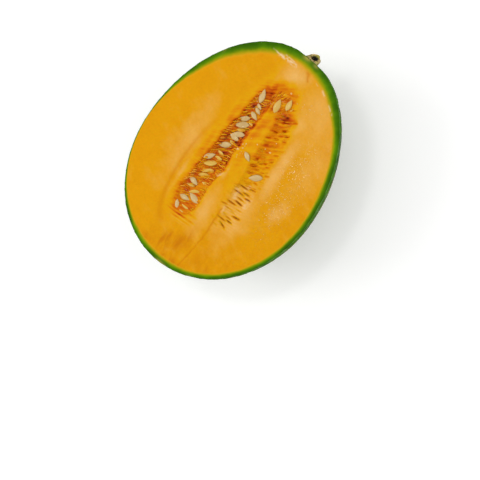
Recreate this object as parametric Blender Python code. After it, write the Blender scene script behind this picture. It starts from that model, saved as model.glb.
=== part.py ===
"""A halved rock melon, cut from stem to blossom end, lying on its rind with the cut face up.

The whole fruit is an egg about the X axis with its stem end at +X, a little fuller on one side. The knife
passed a little above the core, so the scar that the stem left stays on this half. The origin is the middle of the flat spot that
the half rests on.
"""

import math
import random

import bmesh
import bpy
from mathutils import Euler, Matrix, Vector

MM = 0.001
GAP = 0.3 * MM  # left between touching pieces

# The whole fruit, measured from its widest ring
STEM_HALF = 90.5 * MM
BLOSSOM_HALF = 79.5 * MM
RADIUS = 67 * MM
CUT_ABOVE_AXIS = 4 * MM
FLAT_DEPTH = 1.5 * MM  # how far the underside is flattened where it rests
AXIS_Z = RADIUS - FLAT_DEPTH
FACE_Z = AXIS_Z + CUT_ABOVE_AXIS

# The side of the fruit that is fuller than an egg: by how much, its bearing about Z and how far it spreads
# to either side of that
FULLER_BY = 2.6 * MM
FULLER_AT = math.radians(138)
FULLER_BEFORE = math.radians(54)
FULLER_AFTER = math.radians(42)

# The green rind is thickest at the stem end and thinnest on the +Y side, which lay on the ground
RIND_STEM = 6.6 * MM
RIND_BLOSSOM = 4.0 * MM
RIND_MINUS_Y = 3.6 * MM
RIND_PLUS_Y = 2.4 * MM
RIND_BELOW = 4.2 * MM
INNER_SEGMENTS = 30
INNER_RINGS = 22

# The corky net: a raised line round each cell of skin
NET_CELLS = 680  # on the whole fruit
NET_JITTER = 0.04  # of the fruit's radius
NET_HEIGHT = 0.9 * MM
NET_LINE = 3.0 * MM
NET_SHORTEST_EDGE = 0.04  # of the fruit's radius
DIMPLE_DEPTH = 1.4 * MM  # round the stem scar
DIMPLE_RADIUS = 11 * MM

# Hollows in the cut face: middle, half length and half width and depth in mm, turn about Z in degrees, how
# steep the walls and how blunt the ends are, how much narrower it grows towards +X, and its bend in mm
GROOVE = {"middle": (7.0, 8.3), "half": (51.0, 7.6), "depth": 11.0, "turn": -4.6, "steep": 4.0, "blunt": 4.4,
          "taper": 0.27, "bow": 1.3}
LOBE = {"middle": (53.5, -4.8), "half": (12.0, 12.0), "depth": 9.0, "turn": -20.0, "steep": 2.6, "blunt": 2.3,
        "taper": 0.1, "bow": 0.0}
BAND = {"middle": (9.0, -16.8), "half": (46.0, 7.8), "depth": 2.2, "turn": 3.0, "steep": 2.4, "blunt": 2.8,
        "taper": 0.0, "bow": -1.5}
HOLLOW_SIDES = 40
HOLLOW_STEPS = (0.4, 0.75, 0.92, 1.0)  # rings of a hollow, as shares of its outline
HOLLOW_WOBBLE = 0.05  # of the half width

# The pulp left in the groove and the lobe, with its strands
GROOVE_PULP = 2.9 * MM  # below the cut face
LOBE_PULP = 1.6 * MM
PULP_BUMPS = 0.6 * MM
PULP_ROWS = 5  # from bank to bank
PULP_END = 4  # sides of the outline that a blunt end takes on each bank
STRANDS = 26
STRAND_LENGTH = 6.5 * MM
STRAND_RADIUS = 0.7 * MM
STRAND_SIDES = 3

SEED_LENGTH = 10 * MM
SEED_WIDTH = 5.0 * MM
SEED_THICKNESS = 1.8 * MM
SEED_SIDES = 6
SEED_STATIONS = ((0.12, 0.5), (0.42, 1.0), (0.8, 0.72))  # share of the length, share of the width
# Where each seed lies: X, Y, heading in degrees, share of the full size
SUNK_SEEDS = ((-38.5, 9.5, -88, 0.7), (-27.3, 10.0, -62, 0.85), (-24.6, 15.2, -78, 0.6),
              (-14.6, 12.0, -60, 0.8), (-11.2, 12.4, -56, 0.66), (-9.3, 9.6, -68, 0.6), (-5.3, 12.6, -60, 1.0),
              (0.6, 9.6, -86, 0.62), (3.9, 9.4, 74, 0.7), (14.5, 7.2, 76, 0.6), (24.6, 7.4, -62, 0.62),
              (31.8, 4.0, 72, 0.5), (-18.2, 7.6, -84, 0.62), (-43.4, 10.5, -86, 0.6), (54.0, -14.0, -12, 0.5))
SUNK_LIFT = 0.2 * MM  # of a half hidden seed's middle over the pulp
CLEAR_SEEDS = ((-40.7, 15.4, 30, 0.68), (-33.8, 13.5, 92, 0.76), (-30.7, 7.8, -108, 0.95),
               (-21.3, 14.6, 72, 0.76), (-1.4, 15.2, 138, 0.84), (10.4, 11.0, -58, 0.9), (18.2, 8.2, 80, 0.84),
               (21.4, 6.8, -68, 0.86), (27.8, 8.7, -60, 1.04), (32.2, 9.6, -54, 0.8), (37.2, 4.9, 65, 0.7),
               (41.2, 4.6, 62, 0.56), (44.2, 5.3, 62, 0.48), (51.2, 7.6, 194, 1.0), (51.2, -4.6, 188, 1.0),
               (55.8, -11.0, 185, 0.82))
BAND_SEEDS = ((12.4, -7.2, 58, 0.72), (3.8, -19.6, -58, 0.98))
SEED_LIFT = 0.55 * MM  # of a clear seed's middle over what it lies on

# Sockets that seeds fell out of, in files along the band
SOCKET_COLUMNS = 17
SOCKET_ROWS = 4
SOCKET_GAPS = 0.2  # share of the places with no socket
SOCKET_LENGTH = 4.6 * MM
SOCKET_WIDTH = 1.4 * MM
SOCKET_DEPTH = 1.5 * MM
# The files end here, and single sockets follow: X, Y, heading in degrees, share of the full length
SOCKETS_TO = -4 * MM
SINGLE_SOCKETS = ((-31.0, -15.6, -95, 1.3), (-34.3, -20.0, -105, 0.9), (-30.2, -21.4, -92, 0.8),
                  (-25.4, -24.0, -84, 1.0), (-21.6, -11.5, -85, 0.8), (-18.6, -15.2, -92, 1.2),
                  (-16.4, -19.6, -97, 1.0), (-10.4, -15.8, -92, 1.5), (-8.6, -19.8, -88, 1.0),
                  (-5.6, -16.4, -90, 1.3), (-4.2, -22.4, -80, 1.0), (-11.2, -23.6, -84, 0.8))

# The corky scar: a ring round a small hole, leaning up from the tip, on a flared foot that spreads towards +Y
SCAR_MIDDLE = Vector((89 * MM, -6.8 * MM, FACE_Z - 4.8 * MM))
SCAR_LEAN = math.radians(52)
SCAR_SIDES = 18
SCAR_PROFILE = ((0.0, -2.4), (4.6, -2.4), (5.6, -0.6), (4.9, 0.9), (4.2, 2.3), (3.6, 3.3), (2.7, 3.3),
                (1.9, 2.2), (1.5, 0.8), (0.0, 0.4))  # radius and height in mm, root to hole
SCAR_FOOT = 1.2  # how far the foot's middle stands towards +Y, in mm
SCAR_MOUTH = -0.7  # and the mouth's


def clear_scene():
    for item in list(bpy.data.objects):
        bpy.data.objects.remove(item, do_unlink=True)


def make_material(name, colour, roughness):
    material = bpy.data.materials.new(name)
    material.use_nodes = True
    shader = material.node_tree.nodes["Principled BSDF"]
    shader.inputs["Base Color"].default_value = (*colour, 1)
    shader.inputs["Roughness"].default_value = roughness
    shader.inputs["Metallic"].default_value = 0
    material.diffuse_color = (*colour, 1)
    return material


def add_object(name, bm, material=None):
    """Turn a bmesh into a named object in the scene."""
    bmesh.ops.recalc_face_normals(bm, faces=bm.faces)
    mesh = bpy.data.meshes.new(name)
    bm.to_mesh(mesh)
    bm.free()
    item = bpy.data.objects.new(name, mesh)
    bpy.context.scene.collection.objects.link(item)
    if material:
        mesh.materials.append(material)
    return item


def combine(target, tool, operation):
    """Cut, keep or join one object by another, then drop the tool."""
    tool.hide_render = True
    tool.display_type = "WIRE"
    boolean = target.modifiers.new(tool.name, "BOOLEAN")
    boolean.operation = operation
    boolean.object = tool
    bake(target)
    bpy.data.objects.remove(tool, do_unlink=True)


def join_all(target, pieces):
    """Fuse small repeated pieces into the body that they grow from."""
    group = bpy.data.collections.new(target.name + "_repeats")
    for piece in pieces:
        group.objects.link(piece)
    boolean = target.modifiers.new("repeats", "BOOLEAN")
    boolean.operation = "UNION"
    boolean.operand_type = "COLLECTION"
    boolean.collection = group
    bake(target)
    for piece in pieces:
        bpy.data.objects.remove(piece, do_unlink=True)
    bpy.data.collections.remove(group)


def bake(target):
    """Apply an object's modifiers to its mesh."""
    bpy.context.view_layer.update()
    graph = bpy.context.evaluated_depsgraph_get()
    mesh = bpy.data.meshes.new_from_object(target.evaluated_get(graph), depsgraph=graph)
    target.modifiers.clear()
    target.data = mesh


def keep_main_body(item):
    """Fill hollows that fusing sealed, and drop loose scraps: only the largest closed skin stays."""
    bm = bmesh.new()
    bm.from_mesh(item.data)
    left = set(bm.faces)
    bodies = []
    while left:
        front = [left.pop()]
        body = list(front)
        while front:
            near = {face for edge in front.pop().edges for face in edge.link_faces} & left
            left -= near
            front += near
            body += near
        bodies.append(body)
    bodies.sort(key=len)
    scraps = [face for body in bodies[:-1] for face in body]
    bmesh.ops.delete(bm, geom=scraps, context="FACES")
    bm.to_mesh(item.data)
    bm.free()


def soften(item, angle):
    item.data.shade_smooth()
    item.data.set_sharp_from_angle(angle=math.radians(angle))


def fuller(point):
    """How far the fruit's side stands out beyond the plain egg at a point near the skin."""
    half = STEM_HALF if point.x > 0 else BLOSSOM_HALF
    out = min(1.0, max(0.0, (math.hypot(point.x / half, point.y / RADIUS) - 0.35) / 0.6))
    bearing = math.atan2(point.y, point.x)
    away = (bearing - FULLER_AT + math.pi) % math.tau - math.pi
    away /= FULLER_BEFORE if away < 0 else FULLER_AFTER
    reach = FULLER_BY * math.exp(-away ** 2) * out * out * (3 - 2 * out)
    return Vector((math.cos(bearing), math.sin(bearing), 0)) * reach


def on_fruit(direction, depth=0.0):
    """The point that lies in a direction from the middle of the widest ring, below the skin by a depth."""
    half = STEM_HALF if direction.x > 0 else BLOSSOM_HALF
    point = Vector((direction.x * half, direction.y * RADIUS, direction.z * RADIUS))
    normal = Vector((point.x / half ** 2, point.y / RADIUS ** 2, point.z / RADIUS ** 2)).normalized()
    point.z += AXIS_Z
    if point.x > 0:
        away = (point - SCAR_MIDDLE).yz.length / DIMPLE_RADIUS
        depth += DIMPLE_DEPTH * math.exp(-away ** 2)
    point -= normal * depth
    return point + fuller(point)


def rind_thickness(direction):
    along = RIND_STEM if direction.x > 0 else RIND_BLOSSOM
    across = RIND_PLUS_Y if direction.y > 0 else RIND_MINUS_Y
    return along * direction.x ** 2 + across * direction.y ** 2 + RIND_BELOW * direction.z ** 2


def net_spots():
    """Evenly spread directions, each moved a little at random: the middles of the skin's cells."""
    chance = random.Random(31)
    golden = math.pi * (3 - math.sqrt(5))
    spots = []
    for i in range(NET_CELLS):
        x = 1 - (2 * i + 1) / NET_CELLS
        ring = math.sqrt(1 - x * x)
        spot = Vector((x, ring * math.cos(golden * i), ring * math.sin(golden * i)))
        spot += Vector([chance.uniform(-1, 1) for _ in range(3)]) * NET_JITTER
        spots.append(spot.normalized())
    return spots


def faces_in_turn(spot):
    """The faces round a corner of the hull, counted round it."""
    side = spot.co.orthogonal().normalized()
    up = spot.co.normalized().cross(side)
    return sorted(spot.link_faces, key=lambda face: math.atan2(face.normal @ up, face.normal @ side))


def net_cells():
    """Many-sided cells on a unit sphere, with the short edges closed up."""
    hull = bmesh.new()
    for spot in net_spots():
        hull.verts.new(spot)
    bmesh.ops.convex_hull(hull, input=hull.verts)
    bmesh.ops.recalc_face_normals(hull, faces=hull.faces)
    cells = bmesh.new()
    corners = {face: cells.verts.new(face.normal) for face in hull.faces}
    for spot in hull.verts:
        cells.faces.new([corners[face] for face in faces_in_turn(spot)])
    hull.free()
    bmesh.ops.remove_doubles(cells, verts=cells.verts, dist=NET_SHORTEST_EDGE)
    return cells


def netted_skin():
    """The skin of the whole fruit: each cell's floor lies below the raised line round it."""
    cells = net_cells()
    skin = bmesh.new()
    crest = {corner: skin.verts.new(on_fruit(corner.co.normalized())) for corner in cells.verts}
    for cell in cells.faces:
        middle = cell.calc_center_median().normalized()
        reach = NET_LINE / 2 / RADIUS
        ring = [loop.vert for loop in cell.loops]
        inner = []
        for corner in ring:
            inward = middle - corner.co
            spot = corner.co + inward * min(0.45, 1.15 * reach / inward.length)
            inner.append(skin.verts.new(on_fruit(spot.normalized(), NET_HEIGHT)))
        hub = skin.verts.new(on_fruit(middle, NET_HEIGHT))
        for i, corner in enumerate(ring):
            after = (i + 1) % len(ring)
            skin.faces.new((crest[corner], crest[ring[after]], inner[after]))
            skin.faces.new((crest[corner], inner[after], inner[i]))
            skin.faces.new((inner[i], inner[after], hub))
    cells.free()
    return skin


def inner_egg(depth):
    """A smooth egg under the rind, by an extra depth."""
    egg = bmesh.new()
    bmesh.ops.create_uvsphere(egg, u_segments=INNER_SEGMENTS, v_segments=INNER_RINGS, radius=1)
    bmesh.ops.rotate(egg, verts=egg.verts, matrix=Matrix.Rotation(math.pi / 2, 3, "Y"))
    for corner in egg.verts:
        direction = corner.co.normalized()
        corner.co = on_fruit(direction, rind_thickness(direction) + depth)
    return egg


def knife_block():
    """What lies between the resting plane and the cut."""
    block = bmesh.new()
    bmesh.ops.create_cube(block, size=1)
    width = 3 * RADIUS
    bmesh.ops.scale(block, verts=block.verts, vec=(width, width, FACE_Z))
    bmesh.ops.translate(block, verts=block.verts, vec=(0, 0, FACE_Z / 2))
    return add_object("knife_block", block)


def hollow_run(hollow, along):
    """How wide a hollow is at a share of its half length, and how far its middle is bent aside, in mm."""
    width = hollow["half"][1] * (1 - hollow["taper"] * along)
    aside = hollow["bow"] * (1 - along ** 2) + HOLLOW_WOBBLE * width * math.sin(9 * along)
    return width * (1 + HOLLOW_WOBBLE * math.sin(13 * along + hollow["depth"])), aside


def hollow_point(hollow, along, across):
    """The point, in metres, at shares of a hollow's half length and half width."""
    width, aside = hollow_run(hollow, along)
    x, y = along * hollow["half"][0], across * width + aside
    turn = math.radians(hollow["turn"])
    return ((hollow["middle"][0] + x * math.cos(turn) - y * math.sin(turn)) * MM,
            (hollow["middle"][1] + x * math.sin(turn) + y * math.cos(turn)) * MM)


def hollow_share(hollow, x, y):
    """Where a place lies in a hollow: 0 in its middle, 1 on its outline."""
    turn = math.radians(hollow["turn"])
    x, y = x / MM - hollow["middle"][0], y / MM - hollow["middle"][1]
    along = (x * math.cos(turn) + y * math.sin(turn)) / hollow["half"][0]
    width, aside = hollow_run(hollow, along)
    across = (y * math.cos(turn) - x * math.sin(turn) - aside) / width
    return (abs(along) ** hollow["blunt"] + abs(across) ** hollow["blunt"]) ** (1 / hollow["blunt"])


def outline(hollow, angle, share, shrink):
    """A point of a hollow's outline, at a share of its size."""
    c, s = math.cos(angle), math.sin(angle)
    blunt = (abs(c) ** hollow["blunt"] + abs(s) ** hollow["blunt"]) ** (-1 / hollow["blunt"])
    along = (1 - shrink / (hollow["half"][0] * MM)) * share * blunt * c
    across = (1 - shrink / (hollow["half"][1] * MM)) * share * blunt * s
    return hollow_point(hollow, along, across)


def hollow_ring(bm, hollow, share, z, shrink=0.0):
    ring = []
    for i in range(HOLLOW_SIDES):
        x, y = outline(hollow, i * math.tau / HOLLOW_SIDES, share, shrink)
        ring.append(bm.verts.new((x, y, z)))
    return ring


def skin_rings(bm, rings, last_open=False):
    """Join rings of equal length, one after another, and close the ends with a fan."""
    for lower, upper in zip(rings, rings[1:]):
        skin_rows(bm, lower + lower[:1], upper + upper[:1])
    fan(bm, rings[0])
    if not last_open:
        fan(bm, rings[-1])


def fan(bm, ring):
    hub = bm.verts.new(sum((corner.co for corner in ring), Vector()) / len(ring))
    for i, corner in enumerate(ring):
        bm.faces.new((corner, ring[(i + 1) % len(ring)], hub))


def skin_rows(bm, lower, upper):
    for i in range(len(lower) - 1):
        bm.faces.new((lower[i], lower[i + 1], upper[i + 1]))
        bm.faces.new((lower[i], upper[i + 1], upper[i]))


def hollow_depth(hollow, share, shrink=0.0):
    return (hollow["depth"] * MM - shrink) * (1 - share ** hollow["steep"])


def hollow_cutter(name, hollow, shrink=0.0):
    bm = bmesh.new()
    rings = []
    for share in HOLLOW_STEPS:
        rings.append(hollow_ring(bm, hollow, share, FACE_Z - hollow_depth(hollow, share, shrink), shrink))
    rings.append(hollow_ring(bm, hollow, 1.0, FACE_Z + 2 * MM, shrink))
    skin_rings(bm, rings)
    return add_object(name, bm)


def pulp_body(name, hollow, level, material=None):
    """The lower part of a hollow, filled to the pulp's level below the cut."""
    bm = bmesh.new()
    brim = (1 - level / (hollow["depth"] * MM - GAP)) ** (1 / hollow["steep"])
    rings = []
    for share in HOLLOW_STEPS:
        if share < brim - 0.02:
            rings.append(hollow_ring(bm, hollow, share, FACE_Z - hollow_depth(hollow, share, GAP), GAP))
    rings.append(hollow_ring(bm, hollow, brim, FACE_Z - level, GAP))
    skin_rings(bm, rings, last_open=True)
    pulp_top(bm, rings[-1])
    return add_object(name, bm, material)


def pulp_top(bm, brim):
    """Rows from bank to bank across the brim, rough in between, and a fan over each blunt end."""
    chance = random.Random(3)
    half = len(brim) // 2
    rows = []
    for i in range(PULP_END, half - PULP_END + 1):
        row = [brim[i]]
        for k in range(1, PULP_ROWS):
            spot = brim[i].co.lerp(brim[-i].co, k / PULP_ROWS)
            spot.z += chance.uniform(-PULP_BUMPS, PULP_BUMPS)
            row.append(bm.verts.new(spot))
        rows.append(row + [brim[-i]])
    for row, after in zip(rows, rows[1:]):
        skin_rows(bm, row, after)
    fan(bm, brim[-PULP_END:] + brim[:PULP_END] + rows[0][:-1])
    fan(bm, brim[half - PULP_END:half + PULP_END] + rows[-1][:0:-1])


def seed(name, place, heading, size, roll):
    """A flat seed, pointed at one end, lying on its side; heading and roll in degrees."""
    bm = bmesh.new()
    rings = []
    for along, width in SEED_STATIONS:
        ring = []
        for i in range(SEED_SIDES):
            angle = i * math.tau / SEED_SIDES
            y = math.cos(angle) * width * SEED_WIDTH / 2
            z = math.sin(angle) * math.sqrt(width) * SEED_THICKNESS / 2
            ring.append(bm.verts.new(((along - 0.5) * SEED_LENGTH, y, z)))
        rings.append(ring)
    skin_rings(bm, rings)
    bm.verts.ensure_lookup_table()
    ends = list(bm.verts)[-2:]
    for end, side in zip(ends, (-0.5, 0.5)):
        end.co.x = side * SEED_LENGTH
    turn = Euler((math.radians(roll), 0, math.radians(heading)), "XYZ").to_matrix().to_4x4()
    bmesh.ops.transform(bm, matrix=Matrix.Translation(place) @ turn @ Matrix.Scale(size, 4), verts=bm.verts)
    return add_object(name, bm)


def laid_seeds(name, places, level, lift, rolls):
    """Seeds at chosen places on a surface whose height is a function of the place, rolled to either side."""
    chance = random.Random(11)
    seeds = []
    for i, (x, y, heading, size) in enumerate(places):
        place = (x * MM, y * MM, level(x * MM, y * MM) + lift)
        roll = chance.uniform(*rolls) * (1 if i % 2 else -1)
        seeds.append(seed(f"{name}_{i}", place, heading, size, roll))
    return seeds


def strand(name, start, end):
    """A tapered fibre with a ridge along its top."""
    bm = bmesh.new()
    along = (end - start).normalized()
    side = along.cross(Vector((0, 0, 1))).normalized()
    up = side.cross(along)
    rings = []
    for share, size in ((0, 1.0), (1, 0.5)):
        ring = []
        for i in range(STRAND_SIDES):
            angle = math.pi / 2 + i * math.tau / STRAND_SIDES
            reach = side * math.cos(angle) + up * math.sin(angle)
            ring.append(bm.verts.new(start.lerp(end, share) + reach * STRAND_RADIUS * size))
        rings.append(ring)
    skin_rings(bm, rings)
    return add_object(name, bm)


def strands():
    """Fibres that slope from both walls of the groove down into the pulp."""
    chance = random.Random(9)
    made = []
    for i in range(STRANDS):
        bank = 1 if i % 3 else -1
        x, y = hollow_point(GROOVE, 1.8 * i / (STRANDS - 1) - 0.94, bank * 0.86)
        heading = math.radians(chance.uniform(-85, -60))
        run = Vector((math.cos(heading), math.sin(heading), 0)) * STRAND_LENGTH * chance.uniform(0.7, 1)
        start = Vector((x, y, FACE_Z - chance.uniform(1.3, 2.0) * MM))
        end = start + bank * run
        end.z = FACE_Z - GROOVE_PULP - 0.8 * MM
        made.append(strand(f"strand_{i}", start, end))
    return made


def socket_cutter():
    """Slots along the band, all in one cutter: each is a long spindle sunk to its middle."""
    chance = random.Random(5)
    bm = bmesh.new()
    for column in range(SOCKET_COLUMNS):
        for row in range(SOCKET_ROWS):
            share = (column + 0.5 * (row % 2) + chance.uniform(-0.22, 0.22)) / SOCKET_COLUMNS
            across = 0.66 - 1.45 * (row + chance.uniform(-0.25, 0.25)) / (SOCKET_ROWS - 1)
            heading = math.radians(-108 + 44 * min(1.5 * share, 1) + chance.uniform(-6, 6))
            size = chance.uniform(0.6, 1.2)
            x, y = hollow_point(BAND, 1.84 * share - 0.94, across)
            if chance.random() > SOCKET_GAPS and x > SOCKETS_TO:
                add_spindle(bm, x, y, heading, size)
    for x, y, heading, size in SINGLE_SOCKETS:
        add_spindle(bm, x * MM, y * MM, math.radians(heading), size)
    return add_object("sockets", bm)


def band_level(x, y):
    """Height of the scooped band's floor, or of the cut face beside it."""
    return FACE_Z - hollow_depth(BAND, min(1.0, hollow_share(BAND, x, y)))


def pulp_level(x, y):
    """Rough height of the pulp, which stands higher in the lobe than in the groove."""
    return FACE_Z - (LOBE_PULP if hollow_share(LOBE, x, y) < 0.9 else GROOVE_PULP)


def add_spindle(bm, x, y, heading, size):
    place = Vector((x, y, band_level(x, y)))
    along = Vector((math.cos(heading), math.sin(heading), 0)) * size * SOCKET_LENGTH / 2
    across = Vector((-math.sin(heading), math.cos(heading), 0)) * SOCKET_WIDTH / 2
    ring = [bm.verts.new(place + side) for side in (along, across, -along, -across)]
    top = bm.verts.new(place + Vector((0, 0, SOCKET_DEPTH)))
    keel = bm.verts.new(place - Vector((0, 0, SOCKET_DEPTH)))
    for i in range(4):
        bm.faces.new((ring[i], ring[(i + 1) % 4], top))
        bm.faces.new((ring[(i + 1) % 4], ring[i], keel))


def scar_body(name, swell, hole, material=None):
    """The scar turned about its own axis, lumpy round the rim."""
    profile = SCAR_PROFILE if hole else SCAR_PROFILE[:6] + ((0.0, 3.6),)
    bm = bmesh.new()
    rings = []
    for radius, height in profile[1:-1]:
        ring = []
        aside = max(SCAR_MOUTH, SCAR_FOOT - 0.7 * max(0.0, height + 0.6)) * MM
        for i in range(SCAR_SIDES):
            angle = i * math.tau / SCAR_SIDES
            lump = 1 + 0.07 * math.sin(3 * angle + 1) + 0.05 * math.sin(5 * angle + height)
            reach = radius * MM * lump + swell
            ring.append(bm.verts.new((reach * math.cos(angle), reach * math.sin(angle) + aside, height * MM)))
        rings.append(ring)
    for corner in rings[0]:
        corner.co.z -= swell
    skin_rings(bm, rings)
    lean = Matrix.Rotation(math.pi / 2 - SCAR_LEAN, 4, "Y")
    bmesh.ops.transform(bm, matrix=Matrix.Translation(SCAR_MIDDLE) @ lean, verts=bm.verts)
    return add_object(name, bm, material)


def make_rind(material):
    rind = add_object("rind", netted_skin(), material)
    combine(rind, knife_block(), "INTERSECT")
    combine(rind, add_object("flesh_room", inner_egg(0)), "DIFFERENCE")
    combine(rind, scar_body("scar_socket", GAP, False), "DIFFERENCE")
    soften(rind, 24)


def make_flesh(material):
    flesh = add_object("flesh", inner_egg(GAP), material)
    combine(flesh, knife_block(), "INTERSECT")
    for name, hollow in (("groove", GROOVE), ("lobe", LOBE), ("band", BAND)):
        combine(flesh, hollow_cutter(name, hollow), "DIFFERENCE")
    combine(flesh, socket_cutter(), "DIFFERENCE")
    join_all(flesh, laid_seeds("band_seed", BAND_SEEDS, band_level, SEED_LIFT, (2, 18)))
    soften(flesh, 14)


def seed_room():
    """What the seeds and strands stay inside, clear of the flesh round them."""
    room = hollow_cutter("groove_room", GROOVE, 1.5 * GAP)
    combine(room, hollow_cutter("lobe_room", LOBE, 1.5 * GAP), "UNION")
    return room


def make_seed_bed(material):
    bed = pulp_body("seed_bed", GROOVE, GROOVE_PULP, material)
    combine(bed, pulp_body("lobe_pulp", LOBE, LOBE_PULP), "UNION")
    pieces = strands()
    pieces += laid_seeds("sunk_seed", SUNK_SEEDS, pulp_level, SUNK_LIFT, (24, 44))
    pieces += laid_seeds("clear_seed", CLEAR_SEEDS, pulp_level, SEED_LIFT, (2, 18))
    join_all(pieces[0], pieces[1:])
    combine(pieces[0], seed_room(), "INTERSECT")
    combine(bed, pieces[0], "UNION")
    keep_main_body(bed)
    soften(bed, 35)


def make_stem_scar(material):
    scar = scar_body("stem_scar", 0.0, True, material)
    soften(scar, 40)


def main():
    clear_scene()
    make_rind(make_material("green_rind", (0.055, 0.13, 0.012), 0.45))
    make_flesh(make_material("orange_flesh", (0.75, 0.30, 0.02), 0.35))
    make_seed_bed(make_material("seeds_and_pulp", (0.55, 0.25, 0.07), 0.35))
    make_stem_scar(make_material("corky_scar", (0.30, 0.21, 0.08), 0.85))


main()
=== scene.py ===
import math
import random

import bpy
import numpy as np
from mathutils import Euler, Matrix, Vector


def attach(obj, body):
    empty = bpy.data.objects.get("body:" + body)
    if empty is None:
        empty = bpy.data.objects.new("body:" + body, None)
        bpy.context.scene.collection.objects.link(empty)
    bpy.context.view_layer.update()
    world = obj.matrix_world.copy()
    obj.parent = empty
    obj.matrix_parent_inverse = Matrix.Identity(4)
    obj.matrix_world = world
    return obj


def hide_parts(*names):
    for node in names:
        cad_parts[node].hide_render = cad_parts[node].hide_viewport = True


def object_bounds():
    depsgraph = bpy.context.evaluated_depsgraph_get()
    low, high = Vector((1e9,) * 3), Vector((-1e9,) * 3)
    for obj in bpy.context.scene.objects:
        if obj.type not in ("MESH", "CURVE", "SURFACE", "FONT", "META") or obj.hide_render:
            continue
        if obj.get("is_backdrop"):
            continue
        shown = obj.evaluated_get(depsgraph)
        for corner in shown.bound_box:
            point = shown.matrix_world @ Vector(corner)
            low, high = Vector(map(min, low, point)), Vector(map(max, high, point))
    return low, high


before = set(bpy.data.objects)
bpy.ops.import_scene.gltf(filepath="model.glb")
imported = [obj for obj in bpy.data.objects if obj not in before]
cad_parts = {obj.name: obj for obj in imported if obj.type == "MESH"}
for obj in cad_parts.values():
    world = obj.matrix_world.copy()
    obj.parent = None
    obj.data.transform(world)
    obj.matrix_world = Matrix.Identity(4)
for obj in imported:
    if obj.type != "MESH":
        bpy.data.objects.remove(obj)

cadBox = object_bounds()
mm = 0.001
bodyGap = 0.3 * mm

# the half fruit lies on z = 0 with its stem end at +x, the whole egg's axis runs along x
melon = {
    "stemHalf": 90.4 * mm,  # from the widest ring to the stem end
    "blossomHalf": 79.4 * mm,
    "radius": 66.85 * mm,
    "axisHeight": 65.5 * mm,
    "faceHeight": 69.5 * mm,  # the cut
    "faceMiddle": 5.5 * mm,  # along x
    "rindStem": 6.6 * mm,  # how thick the rind is towards each side
    "rindBlossom": 4.0 * mm,
    "rindPlusY": 2.4 * mm,
    "rindMinusY": 3.6 * mm,
    "rindBelow": 4.2 * mm,
    "fullerBy": 2.6 * mm,  # one side stands out beyond the egg
    "fullerAt": 138,  # its bearing, and how far it spreads to either side of that
    "fullerSpread": (54, 42),
}
faceZ = melon["faceHeight"]
cutLatitude = math.asin((faceZ - melon["axisHeight"]) / melon["radius"])

# hollows of the cut face, in mm: half lengths along and across, narrower towards +x by taper, bent by bow
groove = {"middle": (7.0, 8.3), "half": (51.0, 7.6), "depth": 11.0, "turn": -4.6, "steep": 4.0, "blunt": 4.4,
          "taper": 0.27, "bow": 1.3, "lip": 0.5, "slope": 1.1}
lobe = {"middle": (53.5, -4.8), "half": (12.0, 12.0), "depth": 9.0, "turn": -20.0, "steep": 2.6, "blunt": 2.3,
        "taper": 0.1, "bow": 0.0, "lip": 0.25, "slope": 1.35}
band = {"middle": (9.0, -16.8), "half": (46.0, 7.8), "depth": 2.2, "turn": 3.0, "steep": 2.4, "blunt": 2.8,
        "taper": 0.0, "bow": -1.5, "lip": 0.0, "slope": 0.0}
hollowWobble = 0.05


# smooth random values from -1 to 1 at many points at once
def latticeValue(ix, iy, iz, draw):
    mixed = (ix * 374761393 + iy * 668265263 + iz * 1440662683 + draw * 974634777) & 0xFFFFFFFF
    mixed = ((mixed ^ (mixed >> 13)) * 1274126177) & 0xFFFFFFFF
    return ((mixed ^ (mixed >> 16)) & 0xFFFF) / 32767.5 - 1


def softNoise(points, size, draw=0):
    scaled = points / size
    corner = np.floor(scaled).astype(np.int64)
    share = scaled - corner
    share = share * share * (3 - 2 * share)
    total = np.zeros(len(points))
    for step in np.ndindex(2, 2, 2):
        weight = np.prod(np.abs(1 - np.array(step) - share), axis=1)
        total += weight * latticeValue(*(corner + step).T, draw)
    return total


# points from three coordinates, each of them one value or one for every point
def pointsAt(x, y, z):
    return np.stack(np.broadcast_arrays(x, y, z), axis=1)


# the soft noise over the cut face, its size in mm
def faceNoise(x, y, size, draw):
    return softNoise(pointsAt(x, y, 0.0), size * mm, draw)


def smoothStep(low, high, values):
    share = np.clip((values - low) / (high - low), 0, 1)
    return share * share * (3 - 2 * share)


def between(ends, share):
    return ends[0] + (ends[1] - ends[0]) * share


# x and y in axes that are turned by an angle
def turned(x, y, angle):
    c, s = math.cos(angle), math.sin(angle)
    return x * c + y * s, y * c - x * s


# the plain egg's half length to the side that each x lies on
def halfLength(x):
    return np.where(x > 0, melon["stemHalf"], melon["blossomHalf"])


# how far the fruit's side stands out beyond the plain egg
def fullerReach(x, y):
    away = (np.degrees(np.arctan2(y, x)) - melon["fullerAt"] + 180) % 360 - 180
    away = away / np.where(away < 0, *melon["fullerSpread"])
    nearRim = smoothStep(0.35, 0.95, np.hypot(x / halfLength(x), y / melon["radius"]))
    return melon["fullerBy"] * np.exp(-away ** 2) * nearRim


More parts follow.
